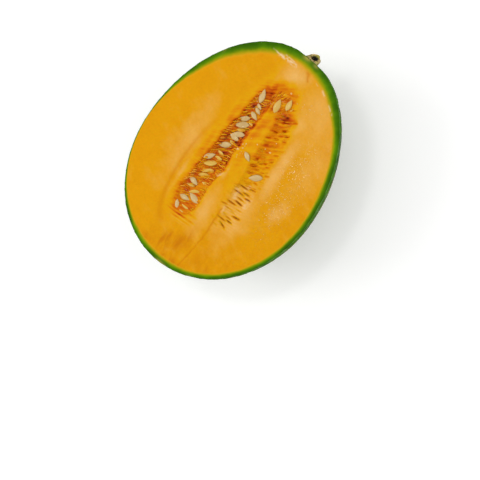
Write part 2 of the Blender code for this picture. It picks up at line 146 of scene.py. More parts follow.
# points of the fruit's skin in given directions, sunk by a depth
def onFruit(directions, depth=0.0):
    radii = np.full(directions.shape, melon["radius"])
    radii[:, 0] = halfLength(directions[:, 0])
    points = directions * radii
    normals = points / radii ** 2
    normals /= np.linalg.norm(normals, axis=1, keepdims=True)
    points[:, 2] += melon["axisHeight"]
    away = np.hypot(points[:, 1] - scar["middle"][1], points[:, 2] - scar["middle"][2]) / scar["dimpleRadius"]
    dimple = np.where(points[:, 0] > 0, scar["dimpleDepth"] * np.exp(-away ** 2), 0)
    points -= normals * (depth + dimple)[:, None]
    aside = fullerReach(points[:, 0], points[:, 1]) / (np.hypot(points[:, 0], points[:, 1]) + 1e-9)
    points[:, :2] *= 1 + aside[:, None]
    return points


def rindThickness(directions):
    along = np.where(directions[:, 0] > 0, melon["rindStem"], melon["rindBlossom"])
    across = np.where(directions[:, 1] > 0, melon["rindPlusY"], melon["rindMinusY"])
    squares = directions ** 2
    return along * squares[:, 0] + across * squares[:, 1] + melon["rindBelow"] * squares[:, 2]


# a ring of directions at a share of the way from the cut down to the lowest point
def ringDirections(angles, share=0.0):
    latitude = cutLatitude - (cutLatitude + math.pi / 2) * share
    flat = math.cos(latitude)
    return pointsAt(flat * np.cos(angles), flat * np.sin(angles), math.sin(latitude))


# angles round the face, closer together beside the groove than at the ends
def faceAngles(columns):
    even = np.arange(columns) * math.tau / columns
    return even + 0.2 * np.sin(2 * even)


# the border between rind and flesh at the cut
def innerEdge(angles):
    directions = ringDirections(angles)
    inner = onFruit(directions, rindThickness(directions))
    inner[:, 2] = faceZ
    return inner


def finishMesh(name, points, faces):
    mesh = bpy.data.meshes.new(name)
    mesh.from_pydata(points, [], faces)
    mesh.update()
    mesh.validate()
    volume = sum(polygon.center.dot(polygon.normal) * polygon.area for polygon in mesh.polygons)
    if volume < 0:
        mesh.flip_normals()
    mesh.shade_smooth()
    return mesh


# a closed mesh from rings of points that all have the same number of points
def meshFromRings(name, rings, foldFirst=False, closeFirst=False):
    columns = len(rings[0])
    points = np.concatenate(rings)
    index = np.arange(len(points)).reshape(len(rings), columns)
    if foldFirst:  # the first ring is a line walked there and back, so both ways share their points
        back = np.arange(columns)
        index[0] = np.minimum(back, (columns - back) % columns)
    after = np.roll(index, -1, axis=1)
    quads = np.stack([index[:-1], after[:-1], after[1:], index[1:]], axis=-1).reshape(-1, 4)
    faces = [[v for i, v in enumerate(quad) if v != quad[i - 1]] for quad in quads.tolist()]
    points = points.tolist()
    for ring in (0, -1) if closeFirst else (-1,):
        hub = len(points)
        points.append(np.mean(rings[ring], axis=0).tolist())
        for a, b in zip(np.roll(index[ring], 1).tolist(), index[ring].tolist()):
            faces.append([a, b, hub] if ring else [b, a, hub])
    return finishMesh(name, points, faces)


# adds a small tube of rings to a mesh in the making, its ends flat or round a middle point
def addTube(points, faces, rings, hubs=False):
    start, sides = len(points), len(rings[0])
    last = start + (len(rings) - 1) * sides
    for ring in rings:
        points += ring.tolist()
    for base in range(start, last, sides):
        for i in range(sides):
            a, b = base + i, base + (i + 1) % sides
            faces.append([a, b, b + sides, a + sides])
    if not hubs:
        faces += [list(reversed(range(start, start + sides))), list(range(last, last + sides))]
        return
    for base, ring, flip in ((start, rings[0], True), (last, rings[-1], False)):
        points.append(ring.mean(axis=0).tolist())
        for i in range(sides):
            a, b = base + i, base + (i + 1) % sides
            faces.append([b, a, len(points) - 1] if flip else [a, b, len(points) - 1])


# values that the materials read by name, 0 at the points that have none
def addValues(mesh, **layers):
    for name, values in layers.items():
        padded = np.zeros(len(mesh.vertices))
        padded[:len(values)] = values[:len(padded)]
        mesh.attributes.new(name, "FLOAT", "POINT").data.foreach_set("value", padded)


def addPiece(mesh, material, slotName, *nodes):
    piece = bpy.data.objects.new(mesh.name, mesh)
    bpy.context.scene.collection.objects.link(piece)
    mesh.materials.append(material)
    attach(piece, "root")
    if nodes:
        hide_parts(*nodes)
    print("made", piece.name, len(mesh.polygons), "faces")


# how wide a hollow is at a share of its half length, and how far its middle is bent aside
def hollowRun(hollow, along):
    width = hollow["half"][1] * np.clip(1 - hollow["taper"] * along, 0.3, 2)
    aside = hollow["bow"] * (1 - along ** 2) + hollowWobble * width * np.sin(9 * along)
    return width * (1 + hollowWobble * np.sin(13 * along + hollow["depth"])), aside


# each place as shares of a hollow's half length and half width
def hollowPlace(hollow, x, y):
    middleX, middleY = hollow["middle"]
    along, across = turned(x / mm - middleX, y / mm - middleY, math.radians(hollow["turn"]))
    along = along / hollow["half"][0]
    width, aside = hollowRun(hollow, along)
    return along, (across - aside) / width


def hollowPoint(hollow, along, across):
    width, aside = hollowRun(hollow, along)
    x, y = turned(along * hollow["half"][0], across * width + aside, -math.radians(hollow["turn"]))
    return (hollow["middle"][0] + x) * mm, (hollow["middle"][1] + y) * mm


# where each place lies in a hollow, 0 in its middle and 1 on its outline
def hollowShare(hollow, x, y):
    along, across = hollowPlace(hollow, x, y)
    return (np.abs(along) ** hollow["blunt"] + np.abs(across) ** hollow["blunt"]) ** (1 / hollow["blunt"])


# distance outside a hollow's outline, below 0 inside it
def hollowReach(hollow, x, y):
    step = 0.2 * mm
    share = hollowShare(hollow, x, y)
    riseX = hollowShare(hollow, x + step, y) - share
    riseY = hollowShare(hollow, x, y + step) - share
    return (share - 1) / np.maximum(np.hypot(riseX, riseY) / step, 12)


# depth of a hollow from the share of its outline: a lip, a gentle bank, then the steep walls
def trench(hollow, share, gentle=0.03):
    foot = 1 - gentle
    core = hollow["depth"] - hollow["lip"] - hollow["slope"]
    inside = hollow["lip"] + hollow["slope"] * smoothStep(1, foot, share)
    inside += core * (1 - np.clip(share / foot, 0, 1) ** hollow["steep"])
    return mm * np.where(share < 1, inside, hollow["lip"] * np.exp(-np.clip(share - 1, 0, None) * 9))


# wider on the near side of the groove's blossom half, as a share of its half width
def bankShare(x, y):
    near = smoothStep(0.2, -0.2, hollowPlace(groove, x, y)[1])
    return 0.17 + near * (0.04 + 0.28 * smoothStep(4, -8, x / mm))


# the corky net, its lines drawn between cells; sizes without mm are in fruit radii
net = {
    "cells": 680,
    "jitter": 0.04,
    "draw": 31,
    "lineHalf": 1.25 * mm,
    "height": 0.8 * mm,
    "wander": 0.03,  # how far the lines wave
    "waves": ((0.11, 50), (0.045, 60)),  # size, draw
    "widthSwing": 0.35,  # how much the lines' width changes from place to place
    "fineCells": 3600,
    "fineDraw": 32,
    "fineHalf": 0.5 * mm,
    "fineHeight": 0.25 * mm,
    "finePatch": 0.25,
}

skin = {
    "columns": 600,
    "outerRows": 132,
    "crowding": 1.12,  # above 1 the rows crowd towards the cut
    "bandRows": 12,
    "innerRows": 5,
    "inset": 0.8 * mm,  # the green starts this far inside the plain egg
    "waviness": 0.25 * mm,
    "edge": 0.3 * mm,  # chamfer where the knife left the skin
    "calmReach": 0.05,  # the net fades in below it, in radians
    "calm": 0.75,
    "darkGreen": (0.022, 0.062, 0.006),
    "midGreen": (0.050, 0.125, 0.010),
    "paleFleck": (0.150, 0.230, 0.040),
    "cork": (0.36, 0.31, 0.13),
    "corkDark": (0.20, 0.19, 0.06),
    "rimGreen": (0.066, 0.200, 0.002),  # the skin close to the cut
    "rimDark": (0.018, 0.095, 0.001),
    "rimFade": (0.055, 0.066),  # from height to height, in metres
    "groundPatch": (0.42, 0.36, 0.07),  # the paler skin it lay on
    "groundHeight": 0.007,
    "finish": {"IOR": 1.42, "Specular IOR Level": 0.03, "Coat Roughness": 0.28},
    "gloss": 0.22,  # coat of the bare green
}

# how wide the green of the cut rind is, from place to place round the face: bearing, mm
greenWidths = ((-155, 2.4), (-128, 2.2), (-95, 2.2), (-59, 3.0), (-27, 4.4), (-9, 5.3), (4, 5.3), (20, 5.9),
               (40, 4.5), (59, 3.0), (80, 1.1), (95, 0.5), (120, 0.8), (138, 1.4), (158, 2.6),
               (178, 3.3), (190, 2.7))


# depth below the skin at the cut, counted in widths of the green there
def greenDepth(x, y):
    share = np.hypot(x / halfLength(x), y / melon["radius"]) + 1e-9
    inward = np.hypot(x, y) * (1 / share - 1) + fullerReach(x, y) - skin["inset"]
    bearing = np.degrees(np.arctan2(y, x - melon["faceMiddle"]))
    return np.maximum(inward, 0) / (mm * np.interp(bearing, *zip(*greenWidths), period=360))


# the middles of the net's cells, spread evenly over a unit ball and shaken a little
def cellMiddles(count, jitter, draw):
    chance = random.Random(draw)
    golden = math.pi * (3 - math.sqrt(5))
    middles = []
    for i in range(count):
        x = 1 - (2 * i + 1) / count
        ring = math.sqrt(1 - x * x)
        spot = Vector((x, ring * math.cos(golden * i), ring * math.sin(golden * i)))
        spot += Vector([chance.uniform(-1, 1) for _ in range(3)]) * jitter
        middles.append(spot.normalized())
    return np.array(middles)


# distance from each direction to the nearest border between two cells
def borderDistance(directions, middles, blockSize=6000):
    nearest = []
    for start in range(0, len(directions), blockSize):
        closeness = directions[start:start + blockSize] @ middles.T
        best = np.argpartition(-closeness, 3, axis=1)[:, :3]
        values = np.take_along_axis(closeness, best, axis=1)
        order = np.argsort(-values, axis=1)
        best = np.take_along_axis(best, order, axis=1)
        values = np.take_along_axis(values, order, axis=1)
        apart = [np.linalg.norm(middles[best[:, 0]] - middles[best[:, k]], axis=1) for k in (1, 2)]
        nearest.append(np.minimum(*((values[:, 0] - values[:, k + 1]) / apart[k] for k in (0, 1))))
    return np.concatenate(nearest) * melon["radius"]


# how high the net stands in each direction, and how corky the skin is there
def netRelief(directions):
    long, short = ([softNoise(directions, size, draw + k) for k in range(3)] for size, draw in net["waves"])
    warped = directions + net["wander"] * (np.stack(long, axis=1) + 0.5 * np.stack(short, axis=1))
    warped /= np.linalg.norm(warped, axis=1, keepdims=True)
    coarse = borderDistance(warped, cellMiddles(net["cells"], net["jitter"], net["draw"]))
    width = net["lineHalf"] * (1 + net["widthSwing"] * softNoise(directions, 0.12, 71))
    line = smoothStep(0, 1, np.clip(1 - coarse / width, 0, 1)) * (0.8 + 0.2 * softNoise(directions, 0.3, 72))
    fineJitter = net["jitter"] * math.sqrt(net["cells"] / net["fineCells"]) * 1.5
    fine = borderDistance(warped, cellMiddles(net["fineCells"], fineJitter, net["fineDraw"]))
    where = softNoise(directions, net["finePatch"], 73) + 0.5 * softNoise(directions, net["finePatch"] / 2, 74)
    fineLine = np.clip(1 - fine / net["fineHalf"], 0, 1) * smoothStep(-0.1, 0.5, where / 1.5)
    return np.maximum(line * net["height"], fineLine * net["fineHeight"]), np.maximum(line, 0.75 * fineLine)


def buildRind(material):
    columns = skin["columns"]
    angles = faceAngles(columns)
    shares = np.linspace(0, 1, skin["outerRows"])[:-1] ** skin["crowding"]
    directions = np.concatenate([ringDirections(angles, share) for share in shares])
    relief, line = netRelief(directions)
    waviness = skin["waviness"] * (1 + softNoise(directions, 0.5, 40)) / 2
    calm = np.exp(-((cutLatitude - np.arcsin(directions[:, 2])) / skin["calmReach"]) ** 2)
    sink = (net["height"] - relief) * (1 - skin["calm"] * calm) + skin["edge"] * calm + waviness
    outer = onFruit(directions, sink)
    outer[:, 2] = np.maximum(outer[:, 2], 0)
    outer[:columns, 2] = faceZ - skin["edge"]
    rings = []
    for row in range(skin["innerRows"], 0, -1):
        ring = ringDirections(angles, row / (skin["innerRows"] + 1))
        rings.append(onFruit(ring, rindThickness(ring)))
    for row in range(skin["bandRows"]):  # the cut band, from the flesh out to the skin
        share = row / (skin["bandRows"] - 0.4)
        ring = innerEdge(angles) * (1 - share) + outer[:columns] * share
        ring[:, 2] = faceZ
        rings.append(ring)
    before = np.zeros(len(rings) * columns)
    rings += [outer[i:i + columns] for i in range(0, len(outer), columns)]
    mesh = meshFromRings("rindSkin", rings, closeFirst=True)
    mesh.set_sharp_from_angle(angle=math.radians(38))
    x, y, height = np.concatenate(rings).T
    outside = np.concatenate([before, np.ones(len(outer))])
    cut = 1 - outside
    addValues(mesh, net=np.concatenate([before, line]), outside=outside, height=height,
              pale=spotMask(paleAndSheenSpots, x, y), deep=spotMask(deepSpots, x, y), depth=greenDepth(x, y) * cut,
              chalk=chalkMask(x, y) * cut, corky=spotMask(corkySpots, x, y) * cut)
    addPiece(mesh, material, "green_rind", "rind")


flesh = {
    "columns": 640,
    "rows": 122,
    "crowding": 1.3,  # above 1 the rows crowd towards the groove
    "line": (-58 * mm, 62 * mm, -1.5 * mm),  # from x, to x, at y: the rows spread out from here
    "underRows": 4,
    "orange": (0.715, 0.312, 0.0008),
    # the pale colour stands for paler flesh and for painted sheen of the wet face
    "pale": (0.79, 0.43, 0.105),
    "deep": (0.585, 0.195, 0.001),
    "pit": (0.34, 0.140, 0.014),
    "mark": (0.60, 0.195, 0.001),  # of the arc and the lines
    "markDepth": 0.25 * mm,
    "finish": {"IOR": 1.36, "Specular IOR Level": 0.06, "Coat Roughness": 0.14, "Roughness": 0.42,
               "Subsurface Weight": 0.1, "Subsurface Scale": 0.003, "Subsurface Radius": (1.0, 0.35, 0.06)},
    "strings": {"Scale": 300.0, "Strings": 1.3},
}

# sockets that seeds fell out of, in rows along the scooped band
sockets = {
    "columns": 17,
    "rows": 4,
    "gaps": 0.2,
    "draw": 5,
    "length": 4.8 * mm,
    "width": 1.25 * mm,
    "depth": 1.5 * mm,
    "strengthDraw": 4,
    "strengths": (0.35, 0.45, 0.55, 0.7, 0.9),
    "ruleFrom": -4 * mm,  # on the blossom side of this x each one has its measured place
    # x, y, heading, size, strength
    "placed": ((36.3, -13.5, -75, 0.75, 1.35), (39.6, -18.2, -52, 0.75, 1.25), (-31, -15.6, -95, 1.3, 0.75),
               (-34.3, -18.6, -112, 1.1, 0.85), (-30.2, -21.4, -92, 0.8, 0.95),
               (-25.4, -24, -84, 1.0, 1.0), (-21.6, -11.5, -85, 0.8, 0.6),
               (-18.6, -15.2, -92, 1.2, 0.75), (-16.4, -19.6, -97, 1.0, 1.1),
               (-10.4, -15.8, -92, 1.5, 0.85), (-8.6, -20.4, -88, 1.0, 0.8),
               (-5.6, -16.4, -90, 1.3, 0.9), (-4.2, -22.4, -80, 1.0, 0.75),
               (-11.2, -23.6, -84, 0.8, 0.95), (-13.6, -11.4, -80, 0.8, 0.35),
               (-23.2, -18.8, -98, 0.9, 0.4), (-27.6, -16.5, -100, 0.9, 0.45),
               (-36.5, -14.4, -98, 0.8, 0.4), (-20.6, -22.6, -88, 0.7, 0.4),
               (-32.6, -11.4, -90, 0.8, 0.35), (-26.2, -11.2, -92, 0.7, 0.3),
               (-2.4, -18.6, -80, 1.0, 0.45), (-8.2, -12.2, -84, 0.7, 0.5),
               (-13.4, -18.6, -94, 1.0, 0.6), (-22.8, -14.8, -95, 0.9, 0.5),
               (-28.2, -19.4, -98, 0.8, 0.6), (-6.8, -12.6, -86, 0.9, 0.5),
               (-2.0, -13.8, -84, 0.9, 0.4)),
}

# places on the cut face, in mm: x, y, reach in x, reach in y, strength
# paler flesh, and the broad sheen of the wet face put into the colour: painted sheen
paleAndSheenSpots = ((-12, -19, 8, 6, 1.0), (-24, -17, 7, 5, 0.9), (4, 35, 30, 8, 0.5), (73, -4, 8, 9, 0.95),
             (60, -32, 24, 15, 0.55), (20, -31, 24, 4, 0.85), (-22, -23, 20, 9, 0.8),
             (-36, -3, 15, 5.5, 0.75), (-5, 0.5, 7, 2.5, 0.7), (-8, -46, 10, 4.5, 0.6),
             (-22, 24.5, 12, 2.2, 0.6), (-47, 9, 3, 6, 0.4), (34, -50, 26, 10, 0.4),
             (50, -25, 10, 5, 0.7))
deepSpots = ((-66, 9, 9, 9, 1.0), (-60, -2, 9, 6, 0.8), (-75, -4, 5, 12, 0.9), (-66, -26, 7, 10, 0.7),
             (-71, 24, 5, 10, 0.6), (-6, -58, 16, 5, 0.3), (-58, -26, 14, 16, 0.25))
corkySpots = ((-79.8, 1.0, 1.5, 4.5, 0.8), (66, 47, 5, 1.0, 0.5), (-76, -20, 1.2, 3, 0.4),
              (88.0, -3.6, 1.7, 3.2, 0.9), (86.4, -11.5, 1.3, 2.2, 0.6))
warmSpots = ((0, 21.0, 20, 3.6, 0.36), (30, 16.5, 17, 3.6, 0.36), (-28, 22.0, 12, 2.8, 0.30),
             (-44, 18.5, 5, 3, 0.14), (10, -4, 8, 4.5, 0.33), (25, -4, 11, 5, 0.36),
             (38, -4, 9, 5.5, 0.43), (-9, -8, 11, 5, 0.15), (2, -4, 7, 4, 0.22),
             (25, -15, 19, 7.5, 0.42), (10, -16, 13, 7, 0.36), (38, -15, 9, 8, 0.46),
             (46, -14, 6, 9, 0.64), (34, -22, 10, 3.5, 0.32), (18, -22, 13, 3.5, 0.26),
             (-10, -17, 10, 4.5, 0.10), (55, 3, 9, 4, 0.66), (60, -8, 8, 6.5, 0.50),
             (53, -5, 9, 9, 0.56), (62, -2, 5, 6, 0.48), (-41.5, 11, 1.0, 9, 0.6),
             (-45.3, 10, 0.8, 8.5, 0.8), (-47.6, 9, 0.7, 7, 0.5), (-49.6, 10, 0.6, 5, 0.25),
             (27, -4, 12, 4, 0.48), (48, -12, 5, 5.5, 0.74))
# red-orange places, and dark red along the groove's edges and below the lobe: painted shade
redAndShadeSpots = ((-37, 10, 2.4, 6, 0.35), (-10.5, 17, 1.2, 2, 1.0), (-23.5, 17, 1.2, 1.5, 0.9),
            (-18, 16.5, 3, 2, 0.5), (1, 5.2, 6, 2.2, 0.6), (7, 10.5, 1.6, 5, 0.6),
            (15, 13.5, 3.5, 1.8, 0.8), (22, 12, 4, 2.5, 0.7), (14, 5.5, 4, 2.2, 0.6),
            (25, 2, 10, 1.4, 0.6), (35.5, 9.2, 3.4, 2.6, 0.8), (43, 8.6, 3, 1.8, 0.7),
            (49, 10.6, 3.2, 1.0, 0.6), (55, 3.2, 5.5, 1.6, 0.5), (61, 2.4, 2.6, 1.3, 0.5),
            (45.2, -8.8, 2.2, 1.6, 1.0), (48, -12, 2.6, 4.2, 0.45), (45.5, -18, 2.4, 2.2, 0.3),
            (45.2, -13.5, 1.1, 3.4, 0.6), (48, -2.7, 2, 0.9, 0.7), (55, -2.2, 2.6, 0.8, 0.6),
            (60, -12.6, 4, 1.1, 0.5), (17, -13, 1.6, 3.6, 0.35), (24, -15, 1.2, 2.4, 0.4))
# lines on the cut face, in mm: from x, y to x, y, half width, strength
markLines = ((-26, -12.4, -50, -12.8, 0.7, 0.9), (-50, -12.8, -77, -8.5, 0.5, 0.9),
             (84.5, -8.6, 80.0, -10.4, 1.5, 0.9), (80.0, -10.4, 75.2, -12.8, 0.9, 0.8),
             (86.5, -9.5, 82.5, -9.0, 0.5, 0.6))
# whitish strokes: painted glints along the rind's edge, and whitish streaks on the face
chalkLines = ((81.4, 18.5, 80.2, 12.0, 0.45, 0.9), (80.2, 12.5, 79.8, 0.5, 1.0, 1.0),
              (82.0, 9.0, 81.4, 2.0, 0.5, 0.7), (78.8, 3.5, 79.4, -1.0, 0.5, 0.5),
              (75.2, -25.0, 73.4, -28.0, 0.6, 0.75), (69.8, -33.5, 66.0, -38.5, 0.5, 0.7),
              (77.6, -18.0, 76.8, -20.5, 0.35, 0.5), (-9, 2.2, -2, -0.6, 1.0, 0.5),
              (-15.5, -15.2, -8.5, -13.6, 1.5, 0.4), (-18, -24.4, -9, -25.4, 1.6, 0.35),
              (-28, -14.4, -23.5, -13.2, 1.0, 0.3), (-7, -18.5, -3, -19.5, 1.0, 0.35))


def spotMask(spots, x, y):
    waveX = faceNoise(x, y, 13, 31) + 0.5 * faceNoise(x, y, 5, 32)
    waveY = faceNoise(x, y, 13, 33) + 0.5 * faceNoise(x, y, 5, 34)
    mask = np.zeros(len(x))
    for spotX, spotY, reachX, reachY, strength in spots:
        offX = (x / mm - spotX) / reachX + waveX * min(0.35, 3.5 / reachX)
        offY = (y / mm - spotY) / reachY + waveY * min(0.35, 3.5 / reachY)
        mask = np.maximum(mask, strength * np.exp(-offX ** 2 - offY ** 2))
    return mask


def lineMask(lines, x, y):
    waveX, waveY = 0.4 * faceNoise(x, y, 2.5, 35), 0.4 * faceNoise(x, y, 2.5, 36)
    mask = np.zeros(len(x))
    for fromX, fromY, toX, toY, width, strength in lines:
        runX, runY = toX - fromX, toY - fromY
        share = ((x / mm - fromX) * runX + (y / mm - fromY) * runY) / (runX ** 2 + runY ** 2)
        share = np.clip(share, 0, 1)
        away = np.hypot(x / mm - fromX - share * runX + waveX, y / mm - fromY - share * runY + waveY)
        mask = np.maximum(mask, strength * np.exp(-(away / width) ** 2))
    return mask


# painted glints along the rind's edge on the stem half, and whitish streaks on the face, broken into short
# strokes
def chalkMask(x, y):
    return lineMask(chalkLines, x, y) * smoothStep(-0.5, 0.15, faceNoise(x, y, 1.5, 41))


# thin marks on the face: the arc beyond the groove, and the lines to the blossom end and from the stem
def markMask(x, y):
    u, v = turned(x / mm + 6, y / mm - 12, math.radians(-4))
    u, v = u / 50, v / 17.5
    ring = np.exp(-((np.hypot(u, v) - 1) / 0.07) ** 2)
    arc = 0.6 * ring * smoothStep(-0.1, 0.35, v) * smoothStep(0.8, -0.1, u)
    return np.maximum(arc, lineMask(markLines, x, y))


def socketPlaces():
    chance, strengths = random.Random(sockets["draw"]), random.Random(sockets["strengthDraw"])
    places = []
    for column, row in np.ndindex(sockets["columns"], sockets["rows"]):
        share = (column + 0.5 * (row % 2) + chance.uniform(-0.22, 0.22)) / sockets["columns"]
        across = 0.66 - 1.45 * (row + chance.uniform(-0.25, 0.25)) / (sockets["rows"] - 1)
        heading = math.radians(-108 + 44 * min(1.5 * share, 1) + chance.uniform(-6, 6))
        size = chance.uniform(0.6, 1.2)
        x, y = hollowPoint(band, 1.84 * share - 0.94, across)
        if chance.random() > sockets["gaps"] and x > sockets["ruleFrom"]:
            places.append((x, y, heading, size, strengths.choice(sockets["strengths"])))
    for x, y, heading, size, strength in sockets["placed"]:
        places.append((x * mm, y * mm, math.radians(heading), size * (1 if x > 0 else 1.4), strength))
    return places


def socketMask(x, y, spread=1.0):
    mask = np.zeros(len(x))
    for spotX, spotY, heading, size, strength in socketPlaces():
        u, v = turned(x - spotX, y - spotY, heading)
        u = u / (sockets["length"] / 2 * size * spread ** 0.5)
        v = v / (sockets["width"] / 2 * spread * (1 if spotX > 0 else 0.8))
        mask = np.maximum(mask, strength * np.clip(1 - u * u, 0, 1) ** 0.7 * np.exp(-v * v))
    return mask


# stripes across a direction that leans away from x: spacing in mm, and how far a noise shifts them
def stripes(x, y, lean, spacing, shift):
    return np.sin((x + lean * y) / mm * math.tau / spacing + shift)


# how warm the colours are in the groove and beside it, from 0 on the plain flesh to 1 in the deepest red, whose
# dark end is painted shade;
# two values are those of the blossom half and the stem half
glow = {
    "inside": (0.50, 0.62),
    "farBank": 0.52,
    "nearBank": (0.34, 0.62),
    "farReach": 2.8,  # how far it fades away from the groove, in mm
    "nearReach": 1.4,
    "redAndShadeSpots": 0.3,
}


def warmth(x, y):
    far = hollowPlace(groove, x, y)[1] > 0
    toGroove = hollowReach(groove, x, y) / mm + 0.5 * faceNoise(x, y, 2.5, 18)
    nearBank = between(glow["nearBank"], smoothStep(-14, -2, x / mm))
    reach = np.where(far, glow["farReach"], glow["nearReach"])
    value = np.where(far, glow["farBank"], nearBank) * np.exp(-np.clip(toGroove, 0, None) / reach)
    inside = between(glow["inside"], smoothStep(-16, 0, x / mm))
    value += (inside - value) * smoothStep(0.8, -0.8, toGroove)
    # the red spots add red colour and painted shade
    return np.maximum(value, spotMask(warmSpots, x, y)) + glow["redAndShadeSpots"] * spotMask(redAndShadeSpots, x, y)


# the cut face's fine shapes, in mm
texture = {
    "fibreSpacing": 2.3,  # fibres torn across the groove's banks
    "fibreHeight": 0.15,
    "farFibres": 3.2,  # how far they reach beyond the groove
    "nearFibres": 1.6,
    "fileSpacing": 3.1,  # files of sockets that lie close together
    "fileHeight": 0.2,
    "threadSpacing": 2.1,  # threads between the sockets of the blossom half
    "swell": 0.10,
    "grain": 0.02,
    "wetGrain": 0.03,
}


# how far the cut face lies below the knife's plane, and the masks that its colours follow
def faceShape(x, y):
    grooveShare, lobeShare, bandShare = (hollowShare(hollow, x, y) for hollow in (groove, lobe, band))
    blossomSide = smoothStep(2, -6, x / mm)
    toGroove = np.clip(hollowReach(groove, x, y) / mm, 0, None)
    far = hollowPlace(groove, x, y)[1] > 0
    bank = np.exp(-toGroove / np.where(far, texture["farFibres"], texture["nearFibres"]))
    lean = 0.55 * smoothStep(-20, 25, x / mm)
    fibres = stripes(x, y, lean, texture["fibreSpacing"], 3.005 * faceNoise(x, y, 5, 12))
    fibres *= 0.6 + 0.4 * faceNoise(x, y, 3, 13)
    files = stripes(x, y, 0.45, texture["fileSpacing"], 2.2 * faceNoise(x, y, 6, 17))
    files *= smoothStep(1.25, 0.7, bandShare) * smoothStep(-4, 10, x / mm)
    files *= 0.65 + 0.35 * faceNoise(x, y, 4, 19)
    pits, marks = socketMask(x, y), markMask(x, y)
    ragged = 1 + 0.05 * faceNoise(x, y, 2.2, 11) + 0.05 * fibres
    depth = trench(groove, grooveShare * ragged, bankShare(x, y))
    depth = np.maximum(depth, trench(lobe, lobeShare * ragged, 0.5)) + trench(band, bandShare)
    depth += pits * sockets["depth"] + marks * flesh["markDepth"]
    depth += mm * (texture["fibreHeight"] * bank * fibres + texture["fileHeight"] * files)
    depth += mm * (texture["swell"] * faceNoise(x, y, 17, 14) + texture["grain"] * faceNoise(x, y, 2.6, 15))
    wet = np.exp(-((x / mm + 4) / 34) ** 2 - ((y / mm + 42) / 12) ** 2)
    depth += mm * texture["wetGrain"] * wet * faceNoise(x, y, 1.4, 16)
    heat = warmth(x, y)
    # paler flesh and painted sheen, kept off the warm places
    pale = spotMask(paleAndSheenSpots, x, y) * (1 - smoothStep(0.1, 0.4, heat))
    halo = socketMask(x, y, 1.8) * blossomSide  # the juicy flesh round each socket
    threads = stripes(x, y, 0.12, texture["threadSpacing"], 2.4 * faceNoise(x, y, 5, 20))
    threads *= smoothStep(1.5, 0.8, bandShare) * blossomSide * smoothStep(-44, -34, x / mm)
    pale *= np.clip(1 - 0.35 * halo - 0.35 * threads, 0, 1.1)
    heat = np.maximum(heat, 0.36 * halo + 0.10 * threads)
    heat += 0.13 * bank * fibres + 0.14 * files + pits * (0.15 + 0.35 * smoothStep(-6, 2, x / mm))
    pit, heat = pits * blossomSide, np.clip(heat, 0, 1.05)
    return depth, {"warm": heat, "pit": pit, "pale": pale, "mark": marks, "wet": wet}


def faceGround(x, y):
    return faceZ - faceShape(x, y)[0]


def buildFlesh(material):
    angles = faceAngles(flesh["columns"])
    edge = innerEdge(angles)
    fromX, toX, lineY = flesh["line"]
    centre = pointsAt((fromX + toX) / 2 + (toX - fromX) / 2 * np.cos(angles), lineY, faceZ)
    rows = np.linspace(0, 1, flesh["rows"])
    face = np.concatenate([centre * (1 - share) + edge * share for share in rows ** flesh["crowding"]])
    x, y = face[:, 0], face[:, 1]
    depth, masks = faceShape(x, y)
    face[:, 2] = faceZ - depth * smoothStep(0, 0.06, 1 - np.repeat(rows, flesh["columns"]))
    rings = [face[i:i + flesh["columns"]] for i in range(0, len(face), flesh["columns"])]
    for row in range(1, flesh["underRows"] + 1):
        ring = ringDirections(angles, row / (flesh["underRows"] + 1))
        rings.append(onFruit(ring, rindThickness(ring) + bodyGap))
    mesh = meshFromRings("orangeFlesh", rings, foldFirst=True)
    mesh.set_sharp_from_angle(angle=math.radians(75))
    addValues(mesh, depth=greenDepth(x, y), deep=spotMask(deepSpots, x, y), chalk=chalkMask(x, y), **masks)
    addPiece(mesh, material, "orange_flesh", "flesh")


pulp = {
    "step": 0.42 * mm,
    "from": (-50 * mm, -24 * mm),
    "to": (70 * mm, 26 * mm),
    "grooveLevel": 2.9 * mm,  # below the cut, in the middle
    "lobeLevel": 1.8 * mm,
    "edgeLevel": 1.45 * mm,  # below the cut where it meets the banks
    "thickness": 1.6 * mm,
    "finish": {"IOR": 1.38, "Specular IOR Level": 0.04, "Roughness": 0.4,
               "Coat Weight": 0.1, "Coat Roughness": 0.12, "Subsurface Weight": 0.12,
               "Subsurface Scale": 0.003, "Subsurface Radius": (1.0, 0.2, 0.04)},
    "strings": {"Base": (0.725, 0.360, 0.001), "Scale": 420.0, "Strings": 1.3},
    "stringBump": (0.0006, 0.6),  # distance, strength
}


# long soft ridges that run at a bearing across the face
def ridgeNoise(x, y, bearing, across, along, draw):
    u, v = turned(x, y, bearing)
    return softNoise(pointsAt(v / across, u / along, 0.0), mm, draw)


# how far the pulp stands out of its mean level, in mm
def pulpRelief(x, y):
    ridges = np.maximum(ridgeNoise(x, y, -1.0, 1.2, 6, 21), ridgeNoise(x, y, -1.3, 1.5, 7, 24))
    return 0.8 * ridges + 0.5 * faceNoise(x, y, 5, 22) + 0.15 * faceNoise(x, y, 1.2, 23)


def pulpHeight(x, y):
    lobeShare = hollowShare(lobe, x, y)
    inLobe = smoothStep(1.15, 0.75, lobeShare)
    meeting = smoothStep(0.4, 0.85, np.minimum(hollowShare(groove, x, y), lobeShare))
    level = pulp["grooveLevel"] * (1 - inLobe) + pulp["lobeLevel"] * inLobe
    level = level * (1 - meeting) + pulp["edgeLevel"] * meeting
    return faceZ - level + mm * pulpRelief(x, y) * (1 - 0.7 * meeting) * (1 - 0.45 * inLobe)


# the same, but always a little below the cut
def pulpGround(x, y):
    return np.minimum(pulpHeight(x, y), faceZ - 0.4 * mm)


def inHollows(x, y):
    return np.minimum(hollowShare(groove, x, y), hollowShare(lobe, x, y)) < 1


